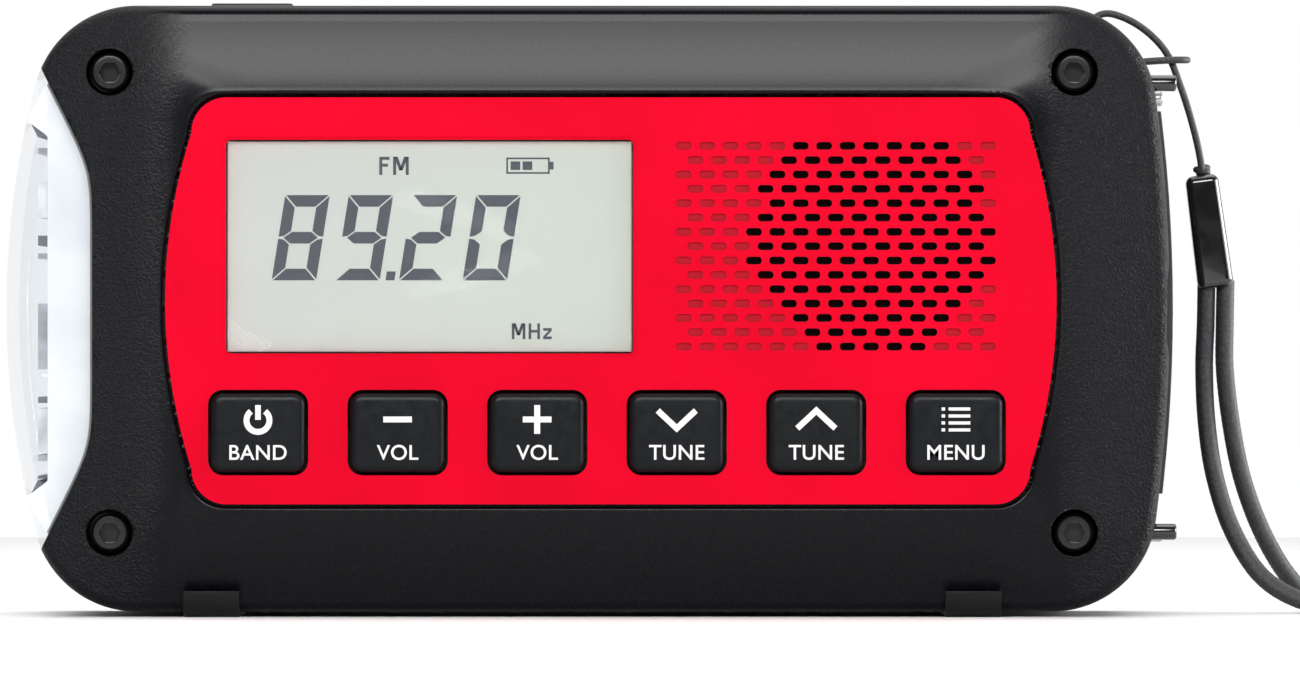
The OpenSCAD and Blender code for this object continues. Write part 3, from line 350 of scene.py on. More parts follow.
centre = np.array([(plate_lo[0] + plate_hi[0]) / 2, mid_z])
outer = body_outline(0)
angles = np.unwrap(np.arctan2(*(outer - centre).T[::-1]))
plate_back = plate_hi[1]
plate_gap = 0.4 * MM
frame_drop = 2.3 * MM
edge_r = 1.7 * MM
shell_wall = 2.2 * MM


def ring(outline, y):
    """One closed row of the shell: an outline in X and Z at the depth y, which may vary round it."""
    return np.insert(outline, 1, y, axis=1)


inner = at_angles(plate_outline(plate_gap), centre, angles)
brim = body_outline(edge_r)
lip = at_angles(plate_outline(-2.5 * MM), centre, angles)
rows = [ring(lip, plate_back + 1.6 * MM), ring(lip, plate_back), ring(inner, plate_back),
        ring(inner, front_y + 0.55 * MM)]
for a in np.linspace(0, 90, 5)[1:]:
    # A 0.3 mm round between the recess wall and the sloping frame
    c, s = math.cos(math.radians(a)), math.sin(math.radians(a))
    rows.append(ring(inner + (brim - inner) * 0.035 * (1 - c), front_y + 0.55 * MM - 0.35 * MM * s))
for t in np.linspace(0.06, 1, 22):
    rows.append(ring(inner + (brim - inner) * t, front_y + 0.2 * MM + frame_drop * t ** 1.25))
shoulder = front_y + 0.2 * MM + frame_drop
for a in np.linspace(12, 90, 9):
    # The rounded outer edge, from the slope of the frame to the side wall
    c, s = math.cos(math.radians(a)), math.sin(math.radians(a))
    rows.append(ring(body_outline(edge_r * (1 - s)), shoulder + edge_r * (1 - c) * 1.05))
for y in (-12 * MM, -5 * MM, split_y - 0.25 * MM):
    rows.append(ring(outer, y))
rows.append(ring(body_outline(0.3 * MM), split_y))
rows.append(ring(body_outline(shell_wall), split_y))
rows.append(ring(body_outline(shell_wall), shoulder + edge_r + 1.5 * MM))
rows.append(ring(brim * 0.3 + inner * 0.7, plate_back + 1.6 * MM))
front_shell = outward(grid_mesh("front_case", np.array(rows), wrap_u=True))


def prism(name, outline, y0, y1):
    """A closed block: an outline in X and Z carried from one depth to another."""
    block = grid_mesh(name, np.array([ring(outline, y0), ring(outline, y1)]), caps=(True, True))
    block.data.polygons.foreach_set("use_smooth", [False] * len(block.data.polygons))
    return outward(block)


def box_block(name, lo, hi):
    """A closed block between two corners."""
    x, z = (lo[0], hi[0]), (lo[2], hi[2])
    return prism(name, np.array([(x[0], z[0]), (x[1], z[0]), (x[1], z[1]), (x[0], z[1])]), lo[1], hi[1])


def lens_boundary(inset, reach=6 * MM):
    """The outline in X and Z of the part of the case that the lens takes: straight flanks that
    run into a straight middle through arcs, given as a smooth step of the height."""
    z = np.linspace(-lens_reach, lens_reach, 90)
    slope = (lens_in - lens_edge) / (lens_reach - lens_flat)
    soft = 2.6 * MM
    over = np.abs(z) - lens_flat
    x = lens_in - slope * soft * np.logaddexp(0, over / soft * 1.6) / 1.6
    side = np.stack([left_x + x + inset, mid_z + z], 1)
    return np.vstack([side, [(left_x - reach, mid_z + lens_reach), (left_x - reach, mid_z - lens_reach)]])


def cut(piece, tools, operation="DIFFERENCE"):
    """Cuts the closed tool pieces out of a piece with exact booleans, and deletes the tools."""
    for tool in tools:
        knife = piece.modifiers.new("cut", "BOOLEAN")
        knife.object, knife.operation, knife.solver = tool, operation, "EXACT"
    return settle(piece, tools)


def settle(piece, tools=()):
    """Applies all modifiers of a piece to its mesh, and deletes the tools."""
    graph = bpy.context.evaluated_depsgraph_get()
    graph.update()
    mesh = bpy.data.meshes.new_from_object(piece.evaluated_get(graph))
    piece.modifiers.clear()
    piece.data = mesh
    for tool in tools:
        bpy.data.objects.remove(tool)
    return piece


def soften(piece, width, angle=32, segments=2):
    """Rounds the edges sharper than the angle, and shades the rest smooth."""
    bevel = piece.modifiers.new("edge_round", "BEVEL")
    bevel.width, bevel.segments, bevel.limit_method = width, segments, "ANGLE"
    bevel.angle_limit = math.radians(angle)
    bevel.harden_normals = False
    bevel.use_clamp_overlap = True
    settle(piece)
    piece.data.polygons.foreach_set("use_smooth", [True] * len(piece.data.polygons))
    weighted = piece.modifiers.new("weighted", "WEIGHTED_NORMAL")
    weighted.keep_sharp = True
    return settle(piece)


def disc_outline(x, z, radius, count=64):
    """A circle in X and Z."""
    return circle_arc((x, z), radius, 0, 360, count)


screw_lo, screw_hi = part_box("housing_screws")
screw_x = (screw_lo[0] + 2.6 * MM, screw_hi[0] - 2.6 * MM)
screw_z = (screw_lo[2] + 2.6 * MM, screw_hi[2] - 2.6 * MM)
well_r = 3.05 * MM
button_lo, button_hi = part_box("lamp_button")
solar_lo, solar_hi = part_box("solar_cover")
cover_lo, cover_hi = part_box("port_cover")
knives = [prism("knife", disc_outline(x, z, well_r), front_y - 5 * MM, front_y + 12 * MM)
          for x in screw_x for z in screw_z]
knives.append(prism("knife", lens_boundary(0), -0.1, 0.1))
knives.append(box_block("knife", (solar_lo[0] - 0.1 * MM, solar_lo[1] - 0.1 * MM, solar_lo[2] - 1 * MM),
                        (solar_hi[0] + 0.1 * MM, solar_hi[1] + 0.1 * MM, 0.1)))
knives.append(box_block("knife", (button_lo[0] + 0.7 * MM, button_lo[1] + 0.7 * MM, top_z - 5 * MM),
                        (button_hi[0] - 0.7 * MM, button_hi[1] - 0.7 * MM, 0.1)))
knives.append(box_block("knife", (cover_lo[0] - 1.2 * MM, cover_lo[1] - 0.3 * MM, cover_lo[2] - 0.3 * MM),
                        (0.1, 0.02, cover_hi[2] + 0.3 * MM)))
cover_mid = (cover_lo[2] + cover_hi[2]) / 2
thumb = outward(grid_mesh("knife", np.stack([
    np.stack([right_x + 1.6 * MM + r * np.cos(np.linspace(0, 2 * np.pi, 48, endpoint=False)),
              cover_lo[1] - 0.6 * MM + r * np.sin(np.linspace(0, 2 * np.pi, 48, endpoint=False)),
              np.full(48, cover_mid - 1.2 * MM + z)], 1)
    for z, r in ((-7.6 * MM, 0.4 * MM), (-6 * MM, 2.4 * MM), (-4 * MM, 3.1 * MM), (4 * MM, 3.1 * MM),
                 (6 * MM, 2.4 * MM), (7.6 * MM, 0.4 * MM))]), caps=(True, True)))
knives.append(thumb)
front_shell = soften(cut(front_shell, knives), 0.28 * MM)


def zoned_black(name, base, smooth_roughness, grain_roughness):
    """Moulded black nylon. Towards both ends it turns from the polished zone to the grained zone:
    the share of grain is a smooth step of the distance from the middle in X."""
    material, tree, shader = new_material(name, base, smooth_roughness, Specular_IOR_Level=0.13)
    place = tree.nodes.new("ShaderNodeTexCoord")
    split = tree.nodes.new("ShaderNodeSeparateXYZ")
    tree.links.new(place.outputs["Object"], split.inputs["Vector"])
    away = tree.nodes.new("ShaderNodeMath")
    away.operation = "SUBTRACT"
    away.inputs[1].default_value = centre[0]
    tree.links.new(split.outputs["X"], away.inputs[0])
    size = tree.nodes.new("ShaderNodeMath")
    size.operation = "ABSOLUTE"
    tree.links.new(away.outputs["Value"], size.inputs[0])
    zone = tree.nodes.new("ShaderNodeMapRange")
    zone.interpolation_type = "SMOOTHSTEP"
    zone.inputs["From Min"].default_value = 53 * MM
    zone.inputs["From Max"].default_value = 63 * MM
    tree.links.new(size.outputs["Value"], zone.inputs["Value"])
    coarse = object_noise(tree, 2600, 2, 0.75)
    bump = tree.nodes.new("ShaderNodeBump")
    bump.inputs["Distance"].default_value = 0.25 * MM
    tree.links.new(zone.outputs["Result"], bump.inputs["Strength"])
    tree.links.new(coarse.outputs["Fac"], bump.inputs["Height"])
    tree.links.new(bump.outputs["Normal"], shader.inputs["Normal"])
    rough = tree.nodes.new("ShaderNodeMix")
    rough.inputs[2].default_value = smooth_roughness
    rough.inputs[3].default_value = grain_roughness
    tree.links.new(zone.outputs["Result"], rough.inputs[0])
    tree.links.new(rough.outputs[0], shader.inputs["Roughness"])
    fleck = ramp(tree, object_noise(tree, 2600, 2).outputs["Fac"], tuple(0.8 * c for c in base),
                 tuple(1.3 * c for c in base), 0.4, 0.7)
    tree.links.new(fleck, shader.inputs["Base Color"])
    return material


shell_material = zoned_black("shell_nylon", (0.0032, 0.0035, 0.0052), 0.24, 0.36)
dress(front_shell, shell_material)
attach(front_shell, "housing")
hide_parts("front_shell")


# ---- Screws --------------------------------------------------------------------------------
# Four black hex-socket screws clamp the shells. Each head sits in the dark bottom of its well.
def lathe(name, profile, x, z, sides=48):
    """A closed turned piece round an axis along Y: the profile gives radius and depth."""
    a = np.linspace(0, 2 * np.pi, sides, endpoint=False)
    p = np.array(profile, float)
    r, y = p[:, :1], np.repeat(p[:, 1:], sides, 1)
    return outward(grid_mesh(name, np.stack([x + r * np.cos(a), y, z + r * np.sin(a)], -1),
                             caps=(True, True)))


screw_material, tree, shader = new_material("oxide_steel", (0.006, 0.006, 0.007), 0.3,
                                            Specular_IOR_Level=0.4)
grain(tree, shader, 3000, 0.01 * MM, 0.6)
head_y, head_base = screw_lo[1], screw_lo[1] + 2.0 * MM
for k, (x, z) in enumerate((x, z) for x in screw_x for z in screw_z):
    head = lathe(f"screw_{k}", [(0.1 * MM, head_y), (1.5 * MM, head_y), (2.1 * MM, head_y),
                                (2.5 * MM, head_y + 0.35 * MM), (2.6 * MM, head_base),
                                (1.5 * MM, head_base + 0.1 * MM), (1.45 * MM, head_base + 8 * MM),
                                (0.2 * MM, head_base + 8.4 * MM)], x, z)
    socket = prism("socket", disc_outline(x, z, 1.4 * MM, 6), head_y - 1 * MM, head_y + 1.6 * MM)
    soften(cut(head, [socket]), 0.08 * MM)
    dress(head, screw_material)
    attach(head, "housing")
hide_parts("housing_screws")


# ---- Faceplate -----------------------------------------------------------------------------
# A red satin moulding set into the frame, with the pattern of sound slots punched through over
# the loudspeaker and only pressed in beyond it. A light chamfer runs round the window.
def cad(name):
    """The Blender object of a CAD node."""
    return nodes[name]


red_material, tree, shader = new_material("red_satin", (0.8, 0.001, 0.03), 0.5, Specular_IOR_Level=0.03)
grain(tree, shader, 5200, 0.012 * MM, 0.5)
tone = object_noise(tree, 40, 2)
tree.links.new(ramp(tree, tone.outputs["Fac"], (0.72, 0.0003, 0.019), (0.8, 0.0004, 0.023)),
               shader.inputs["Base Color"])


def flat_pieces(name, shapes, y, thickness):
    """One closed mesh of prisms: each shape is an outline in X and Z, carried back from y."""
    points, faces = [], []
    for shape in shapes:
        n, start = len(shape), len(points)
        turn = sum(a[0] * b[1] - b[0] * a[1] for a, b in zip(shape, shape[1:] + shape[:1]))
        shape = shape if turn > 0 else shape[::-1]
        points += [(x, y, z) for x, z in shape] + [(x, y + thickness, z) for x, z in shape]
        faces.append([start + k for k in range(n)])
        faces.append([start + n + k for k in range(n)][::-1])
        faces += [[start + k, start + n + k, start + n + (k + 1) % n, start + (k + 1) % n] for k in range(n)]
    mesh = bpy.data.meshes.new(name)
    mesh.from_pydata(points, [], faces)
    piece = bpy.data.objects.new(name, mesh)
    bpy.context.collection.objects.link(piece)
    return piece


def bar(x0, x1, z0, z1, lean=0.0):
    """A rectangle in X and Z, leaning to the right by the given share of its height."""
    return [(x0, z0), (x1, z0), (x1 + lean * (z1 - z0), z1), (x0 + lean * (z1 - z0), z1)]


def round_rect(x, z, w, h, r, count=6):
    """A rectangle with rounded corners as an outline in X and Z, about x and z."""
    w, h = w / 2 - r, h / 2 - r
    corners = [circle_arc((x + i * w, z + j * h), r, a, a + 90, count + 1)
               for i, j, a in ((1, 1, 0), (-1, 1, 90), (-1, -1, 180), (1, -1, 270))]
    ends = [circle_arc((x + i * w, z + j * h), r, a + 90, a + 91, 1)
            for i, j, a in ((1, 1, 0), (-1, 1, 90), (-1, -1, 180), (1, -1, 270))]
    return [tuple(p) for corner, end in zip(corners, ends) for p in np.vstack([corner, end])]


KEYS = ["key_band", "key_volume_down", "key_volume_up", "key_tune_down", "key_tune_up", "key_menu"]
key_boxes = [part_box(name) for name in KEYS]
key_gap, key_r = 0.42 * MM, 1.5 * MM
speaker_x, speaker_z, speaker_r = 35.9 * MM, 48.775 * MM, 15.6 * MM
plate_x, plate_z = (plate_lo[0] + plate_hi[0]) / 2, (plate_lo[2] + plate_hi[2]) / 2
key_w, key_h = 12.1 * MM, 10.2 * MM
window_lo, window_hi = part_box("lcd_window")
wx, wz = (window_lo[0] + window_hi[0]) / 2, (window_lo[2] + window_hi[2]) / 2
wide, high = window_hi[0] - window_lo[0], window_hi[2] - window_lo[2]
holes = [round_rect((lo[0] + hi[0]) / 2, (lo[2] + hi[2]) / 2, key_w + 2 * key_gap, key_h + 2 * key_gap,
                    key_r + key_gap) for lo, hi in key_boxes]
holes.append(round_rect(wx, wz, wide - 0.5 * MM, high - 0.5 * MM, 0.7 * MM))
pressed = []
for row in range(15):
    for column in range(14 - row % 2):
        x = plate_x + 9.4 * MM + (column + row % 2 / 2) * 3.02 * MM
        z = plate_z + 20 * MM - row * 1.85 * MM
        slot = round_rect(x, z, 2.05 * MM, 1.02 * MM, 0.48 * MM, 4)
        (holes if math.hypot(x - speaker_x, z - speaker_z) < speaker_r else pressed).append(slot)
plate_front = plate_lo[1]
faceplate = prism("front_plate", plate_outline(0), plate_front, plate_hi[1])
cut(faceplate, [flat_pieces("knife", holes, plate_front - 1 * MM, 6 * MM),
                flat_pieces("knife", pressed, plate_front - 1 * MM, 1.38 * MM),
                flat_pieces("knife", [round_rect(wx, wz, wide + 0.2 * MM, high + 0.2 * MM, 0.9 * MM)],
                            plate_front - 1 * MM, 1.3 * MM)])
soften(faceplate, 0.17 * MM)
dress(faceplate, red_material)
# Two more reds paint light onto the slot field: a darker red on the slot walls and the floors of the pressed
# slots is painted shade, and a lighter pink on the rounded front rims of the slots is a painted highlight.
for name, color in (("red_painted_shade_pit", (0.5, 0.0008, 0.016)), ("red_painted_highlight_rim", (0.95, 0.045, 0.12))):
    material, tree, shader = new_material(name, color, 0.45, Specular_IOR_Level=0.12)
    tone = object_noise(tree, 400, 2)
    tree.links.new(ramp(tree, tone.outputs["Fac"], tuple(0.9 * c for c in color), color),
                   shader.inputs["Base Color"])
    faceplate.data.materials.append(material)
count = len(faceplate.data.polygons)
middles, normals, marks = np.empty(3 * count), np.empty(3 * count), np.zeros(count, np.int32)
faceplate.data.polygons.foreach_get("center", middles)
faceplate.data.polygons.foreach_get("normal", normals)
middles, normals = middles.reshape(-1, 3), normals.reshape(-1, 3)
in_field = ((np.abs(middles[:, 0] - plate_x - 29 * MM) < 21.5 * MM)
            & (np.abs(middles[:, 2] - plate_z - 7 * MM) < 14.6 * MM))
sunk = middles[:, 1] - plate_front
# Faces 0.1 to 0.45 mm deep in the slots take the painted shade, and the tilted faces of the slots' front
# rims take the painted highlight.
marks[in_field & (sunk > 0.1 * MM) & (sunk < 0.45 * MM)] = 1
marks[in_field & (sunk <= 0.17 * MM) & (np.abs(normals[:, 1]) < 0.97)] = 2
faceplate.data.polygons.foreach_set("material_index", marks)
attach(faceplate, "housing")
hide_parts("faceplate")


# ---- Display -------------------------------------------------------------------------------
# A reflective liquid crystal glass in a metal frame behind a clear window. Its dark segments
# show the band, the frequency and the state of the battery.
display_y = window_hi[1] - 0.2 * MM
SEGMENTS = {"8": "abcdefg", "9": "abcdfg", "2": "abdeg", "0": "abcdef"}


def digit(mark, x, z, w, h, t, lean, gap):
    """The lit segments of a seven-segment digit with its low left corner at x and z: each bar is
    a hexagon of thickness t, mitred where two bars meet with a gap between them."""
    m = h / 2
    shapes = {
        "d": [(gap, 0), (w - gap, 0), (w - gap - t, t), (gap + t, t)],
        "a": [(gap, h), (gap + t, h - t), (w - gap - t, h - t), (w - gap, h)],
        "g": [(gap + t * 0.35, m), (gap + t, m + t / 2), (w - gap - t, m + t / 2), (w - gap - t * 0.35, m),
              (w - gap - t, m - t / 2), (gap + t, m - t / 2)],
        "f": [(0, h - gap), (0, m + gap), (t * 0.45, m + gap * 0.6 + 0.1 * t), (t, m + gap + t / 2),
              (t, h - gap - t)],
        "e": [(0, gap), (0, m - gap), (t * 0.45, m - gap * 0.6 - 0.1 * t), (t, m - gap - t / 2),
              (t, gap + t)],
        "b": [(w, h - gap), (w - t, h - gap - t), (w - t, m + gap + t / 2),
              (w - t * 0.45, m + gap * 0.6 + 0.1 * t), (w, m + gap)],
        "c": [(w, gap), (w - t, gap + t), (w - t, m - gap - t / 2),
              (w - t * 0.45, m - gap * 0.6 - 0.1 * t), (w, m - gap)]}
    return [[(x + px + lean * pz, z + pz) for px, pz in shapes[s]] for s in SEGMENTS[mark]]


def lettering(name, text, size, x, z, y, thickness, spacing=1.0, weight=0.0):
    """Upright text centred on x and z as a closed mesh, its face at y towards the front."""
    curve = bpy.data.curves.new(name, "FONT")
    curve.body, curve.size = text, 1
    curve.align_x, curve.align_y = "CENTER", "CENTER"
    curve.space_character = spacing
    curve.offset = weight / size
    curve.extrude = thickness / 2 / size
    source = bpy.data.objects.new(name, curve)
    bpy.context.collection.objects.link(source)
    bpy.context.view_layer.update()
    mesh = bpy.data.meshes.new_from_object(source.evaluated_get(bpy.context.evaluated_depsgraph_get()))
    bpy.data.objects.remove(source)
    p = np.empty(len(mesh.vertices) * 3)
    mesh.vertices.foreach_get("co", p)
    p = p.reshape(-1, 3) * size
    mid = (p.min(0) + p.max(0)) / 2
    placed = np.stack([p[:, 0] - mid[0] + x, y + thickness / 2 - p[:, 2], p[:, 1] - mid[1] + z], 1)
    mesh.vertices.foreach_set("co", placed.ravel())
    mesh.update()
    piece = bpy.data.objects.new(name, mesh)
    bpy.context.collection.objects.link(piece)
    return outward(piece, smooth=False)


def letters(word, x, z, h):
    """The outlines of the plain letters of a word, its low left corner at x and z, h high: upright
    and level bars of one thickness, and slanting bars between them."""
    t, shapes = 0.17 * h, []
    for mark in word:
        w = {"F": 0.56, "M": 0.86, "H": 0.72, "z": 0.54}[mark] * h
        if mark in "FMH":
            shapes.append(bar(x, x + t, z, z + h))
        if mark in "MH":
            shapes.append(bar(x + w - t, x + w, z, z + h))
        if mark == "F":
            shapes += [bar(x + t, x + w, z + h - t, z + h),
                       bar(x + t, x + 0.85 * w, z + h * 0.45, z + h * 0.45 + t)]
        if mark == "H":
            shapes.append(bar(x + t, x + w - t, z + (h - t) / 2, z + (h + t) / 2))
        if mark == "M":
            mid = x + w / 2
            shapes += [[(x + t * 0.3, z + h), (x + t * 1.5, z + h), (mid + t * 0.55, z + 0.25 * h),
                        (mid - t * 0.55, z + 0.25 * h)],
                       [(x + w - t * 1.5, z + h), (x + w - t * 0.3, z + h), (mid + t * 0.55, z + 0.25 * h),
                        (mid - t * 0.55, z + 0.25 * h)]]
        if mark == "z":
            low = 0.7 * h
            shapes += [bar(x, x + w, z, z + t), bar(x, x + w, z + low - t, z + low),
                       [(x, z + t), (x + t * 1.2, z + t), (x + w, z + low - t),
                        (x + w - t * 1.2, z + low - t)]]
        x += w + 0.2 * h
    return shapes


# The glass is given a faint greenish emission, a painted glow: the display has no light of its own.
display_glow_material, tree, shader = new_material("display_glass_painted_glow", (0.6, 0.62, 0.6), 0.5, Emission_Strength=0.08,
                                                  Emission_Color=(0.9, 1, 0.93, 1))
place = tree.nodes.new("ShaderNodeTexCoord")
split = tree.nodes.new("ShaderNodeSeparateXYZ")
shade = tree.nodes.new("ShaderNodeMapRange")
shade.inputs["From Min"].default_value = window_lo[0]
shade.inputs["From Max"].default_value = window_hi[0]
tree.links.new(place.outputs["Object"], split.inputs["Vector"])
tree.links.new(split.outputs["X"], shade.inputs["Value"])
tone = ramp(tree, shade.outputs["Result"], (0.5, 0.5, 0.5), (0.5, 0.54, 0.5), 0.0, 1.0)
tree.links.new(tone, shader.inputs["Base Color"])
fine = object_noise(tree, 3000, 2)
tree.links.new(ramp(tree, fine.outputs["Fac"], (0.4,) * 3, (0.55,) * 3), shader.inputs["Roughness"])
display_face = flat_pieces("display_face", [bar(window_lo[0] + 0.5 * MM, window_hi[0] - 0.5 * MM,
                                                window_lo[2] + 0.5 * MM, window_hi[2] - 0.5 * MM)],
                           display_y, 0.18 * MM)
dress(display_face, display_glow_material)
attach(display_face, "housing")

shapes = []
digit_w, digit_h, digit_t, lean, digit_gap = 5.75 * MM, 11 * MM, 1.5 * MM, 0.16, 0.13 * MM
for mark, x in zip("8920", (-20.4, -12.2, -3.95, 4.25)):
    shapes += digit(mark, wx + x * MM, wz - 4.35 * MM, digit_w, digit_h, digit_t, lean, digit_gap)
shapes.append(bar(wx - 5.7 * MM, wx - 4.55 * MM, wz - 4.35 * MM, wz - 3.2 * MM, lean))
battery_x, battery_z = wx + 9.9 * MM, wz + 9.4 * MM
frame_t = 0.22 * MM
bw, bh = 5.6 * MM, 2.1 * MM
shapes += [bar(battery_x, battery_x + bw, battery_z, battery_z + frame_t),
           bar(battery_x, battery_x + bw, battery_z + bh - frame_t, battery_z + bh),
           bar(battery_x, battery_x + frame_t, battery_z, battery_z + bh),
           bar(battery_x + bw - frame_t, battery_x + bw, battery_z, battery_z + bh),
           bar(battery_x + bw, battery_x + bw + 0.5 * MM, battery_z + 0.55 * MM, battery_z + bh - 0.55 * MM)]
shapes += [bar(battery_x + 0.55 * MM + k * 1.55 * MM, battery_x + 1.8 * MM + k * 1.55 * MM,
               battery_z + 0.5 * MM, battery_z + bh - 0.5 * MM) for k in range(2)]
ink_material, tree, shader = new_material("display_ink", (0.045, 0.05, 0.075), 0.5)
fine = object_noise(tree, 2000, 2)
tree.links.new(ramp(tree, fine.outputs["Fac"], (0.042, 0.047, 0.07), (0.05, 0.055, 0.08)),
               shader.inputs["Base Color"])
ink_y, ink_t = display_y - 0.03 * MM, 0.028 * MM
segments = [flat_pieces("display_digits", shapes, ink_y, ink_t),
            flat_pieces("display_band", letters("FM", wx - 6.5 * MM, wz + 9.25 * MM, 2.35 * MM), ink_y,
                        ink_t),
            flat_pieces("display_unit", letters("MHz", wx + 10.6 * MM, wz - 11.95 * MM, 2.05 * MM), ink_y,
                        ink_t)]
for piece in segments:
    dress(piece, ink_material)
    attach(piece, "housing")


def clear_material(name, tint, roughness, rim):
    """Clear plastic seen without refraction: a transparent layer in the tint, mixed with a gloss
    by the fourth power of how far the surface turns away, times the share rim. The roughness of
    the gloss varies with fine noise."""
    material, tree, shader = new_material(name, (1, 1, 1), roughness, Metallic=1.0)
    through = tree.nodes.new("ShaderNodeBsdfTransparent")
    through.inputs["Color"].default_value = (*tint, 1)
    away = tree.nodes.new("ShaderNodeLayerWeight")
    steep = tree.nodes.new("ShaderNodeMath")
    steep.operation = "POWER"
    steep.inputs[1].default_value = 4
    share = tree.nodes.new("ShaderNodeMath")
    share.operation = "MULTIPLY_ADD"
    share.inputs[1].default_value = rim
    share.inputs[2].default_value = 0.002
    tree.links.new(away.outputs["Facing"], steep.inputs[0])
    tree.links.new(steep.outputs["Value"], share.inputs[0])
    blend = tree.nodes.new("ShaderNodeMixShader")
    tree.links.new(share.outputs["Value"], blend.inputs["Fac"])
    tree.links.new(through.outputs["BSDF"], blend.inputs[1])
    tree.links.new(shader.outputs["BSDF"], blend.inputs[2])
    tree.links.new(blend.outputs["Shader"], tree.nodes["Material Output"].inputs["Surface"])
    dust = object_noise(tree, 300, 2)
    tree.links.new(ramp(tree, dust.outputs["Fac"], (roughness,) * 3, (roughness + 0.03,) * 3),
                   shader.inputs["Roughness"])
    return material


window_material = clear_material("clear_window", (0.98, 0.99, 0.98), 0.03, 0.3)
window_outline = np.array(round_rect(wx, wz, wide, high, 0.8 * MM))
window = prism("front_window", window_outline, window_lo[1] + 0.05 * MM, window_lo[1] + 0.4 * MM)
dress(window, window_material)
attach(window, "housing")
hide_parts("lcd_window")


# ---- Keys ----------------------------------------------------------------------------------
# Six charcoal silicone-capped keys with broad rounded edges. A white pad print on each shows
# its symbol and its word.
key_material, tree, shader = new_material("key_rubber", (0.0035, 0.005, 0.0068), 0.38,
                                          Specular_IOR_Level=0.15)
grain(tree, shader, 4800, 0.01 * MM, 0.5)
soft_tone = object_noise(tree, 900, 2)
tree.links.new(ramp(tree, soft_tone.outputs["Fac"], (0.32,) * 3, (0.42,) * 3), shader.inputs["Roughness"])
print_material, tree, shader = new_material("white_print", (0.86, 0.87, 0.87), 0.5)
speck = object_noise(tree, 3000, 2)
tree.links.new(ramp(tree, speck.outputs["Fac"], (0.82, 0.83, 0.84), (0.9, 0.9, 0.9)),
               shader.inputs["Base Color"])


def key_cap(name, x, z, y0, y1, w, h, r, edge):
    """A key: a rounded rectangle whose front edge falls away on a quarter ellipse, edge wide and
    0.75 of that deep, to a straight skirt."""
    rows = []
    for a in np.linspace(0, 90, 9):
        c, s = math.cos(math.radians(a)), math.sin(math.radians(a))
        inset = edge * (1 - s)
        outline = np.array(round_rect(x, z, w - 2 * inset, h - 2 * inset, max(r - inset, 0.35 * MM), 8))
        rows.append(ring(outline, y0 + 0.75 * edge * (1 - c)))
    rows.append(ring(np.array(round_rect(x, z, w, h, r, 8)), y1))
    return outward(grid_mesh(name, np.array(rows), caps=(True, True)))


def stroke(points, t):
    """The outline of an open line of thickness t with mitred corners."""
    p = np.array(points, float)
    d = np.diff(p, axis=0)
    d /= np.linalg.norm(d, axis=1)[:, None]
    n = np.stack([-d[:, 1], d[:, 0]], 1)
    m = np.vstack([n[:1], (n[:-1] + n[1:]) / (1 + (n[:-1] * n[1:]).sum(1))[:, None], n[-1:]])
    return [tuple(q) for q in np.vstack([p + m * t / 2, (p - m * t / 2)[::-1]])]


def symbol(kind, x, z):
    """The outlines of the symbol above a key's word, centred on x and z."""
    t, reach = 0.76 * MM, 1.85 * MM
    if kind == "power":
        a = np.radians(np.linspace(128, 412, 40))
        arc = np.stack([x + 1.48 * MM * np.cos(a), z - 0.12 * MM + 1.48 * MM * np.sin(a)], 1)
        return [stroke(arc, t), bar(x - 0.36 * MM, x + 0.36 * MM, z - 0.05 * MM, z + 1.85 * MM)]
    if kind == "minus":
        return [bar(x - reach, x + reach, z - t / 2, z + t / 2)]
    if kind == "plus":
        h = t / 2
        return [[(x - reach, z - h), (x - h, z - h), (x - h, z - reach), (x + h, z - reach), (x + h, z - h),
                 (x + reach, z - h), (x + reach, z + h), (x + h, z + h), (x + h, z + reach),
                 (x - h, z + reach), (x - h, z + h), (x - reach, z + h)]]
    if kind in ("down", "up"):
        way = 1 if kind == "down" else -1
        return [stroke([(x - 2.45 * MM, z + way * 1.15 * MM), (x, z - way * 1.15 * MM),
                        (x + 2.45 * MM, z + way * 1.15 * MM)], t)]
    rows = []
    for k in range(4):
        level = z + (1.35 - 0.9 * k) * MM
        rows += [bar(x - 1.85 * MM, x - 1.4 * MM, level - 0.2 * MM, level + 0.2 * MM),
                 bar(x - 0.95 * MM, x + 1.85 * MM, level - 0.2 * MM, level + 0.2 * MM)]
    return rows


WORDS = ["BAND", "VOL", "VOL", "TUNE", "TUNE", "MENU"]
SYMBOLS = ["power", "minus", "plus", "down", "up", "list"]
key_front, key_back = key_boxes[0][0][1], plate_hi[1] + 0.5 * MM
print_t = 0.05 * MM
for name, word, kind, (lo, hi) in zip(KEYS, WORDS, SYMBOLS, key_boxes):
    x, z = (lo[0] + hi[0]) / 2, (lo[2] + hi[2]) / 2
    cap = key_cap(name + "_cap", x, z, key_front, key_back, key_w, key_h, key_r, 1.05 * MM)
    dress(cap, key_material)
    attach(cap, name)
    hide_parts(name)
    marks = [flat_pieces(name + "_symbol", symbol(kind, x, z + 1.7 * MM), key_front - print_t / 2, print_t),
             lettering(name + "_word", word, 2.72 * MM, x, z - 2.55 * MM, key_front - print_t / 2, print_t,
                       1.04, 0.025 * MM)]
    for mark in marks:
        dress(mark, print_material)
        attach(mark, name)


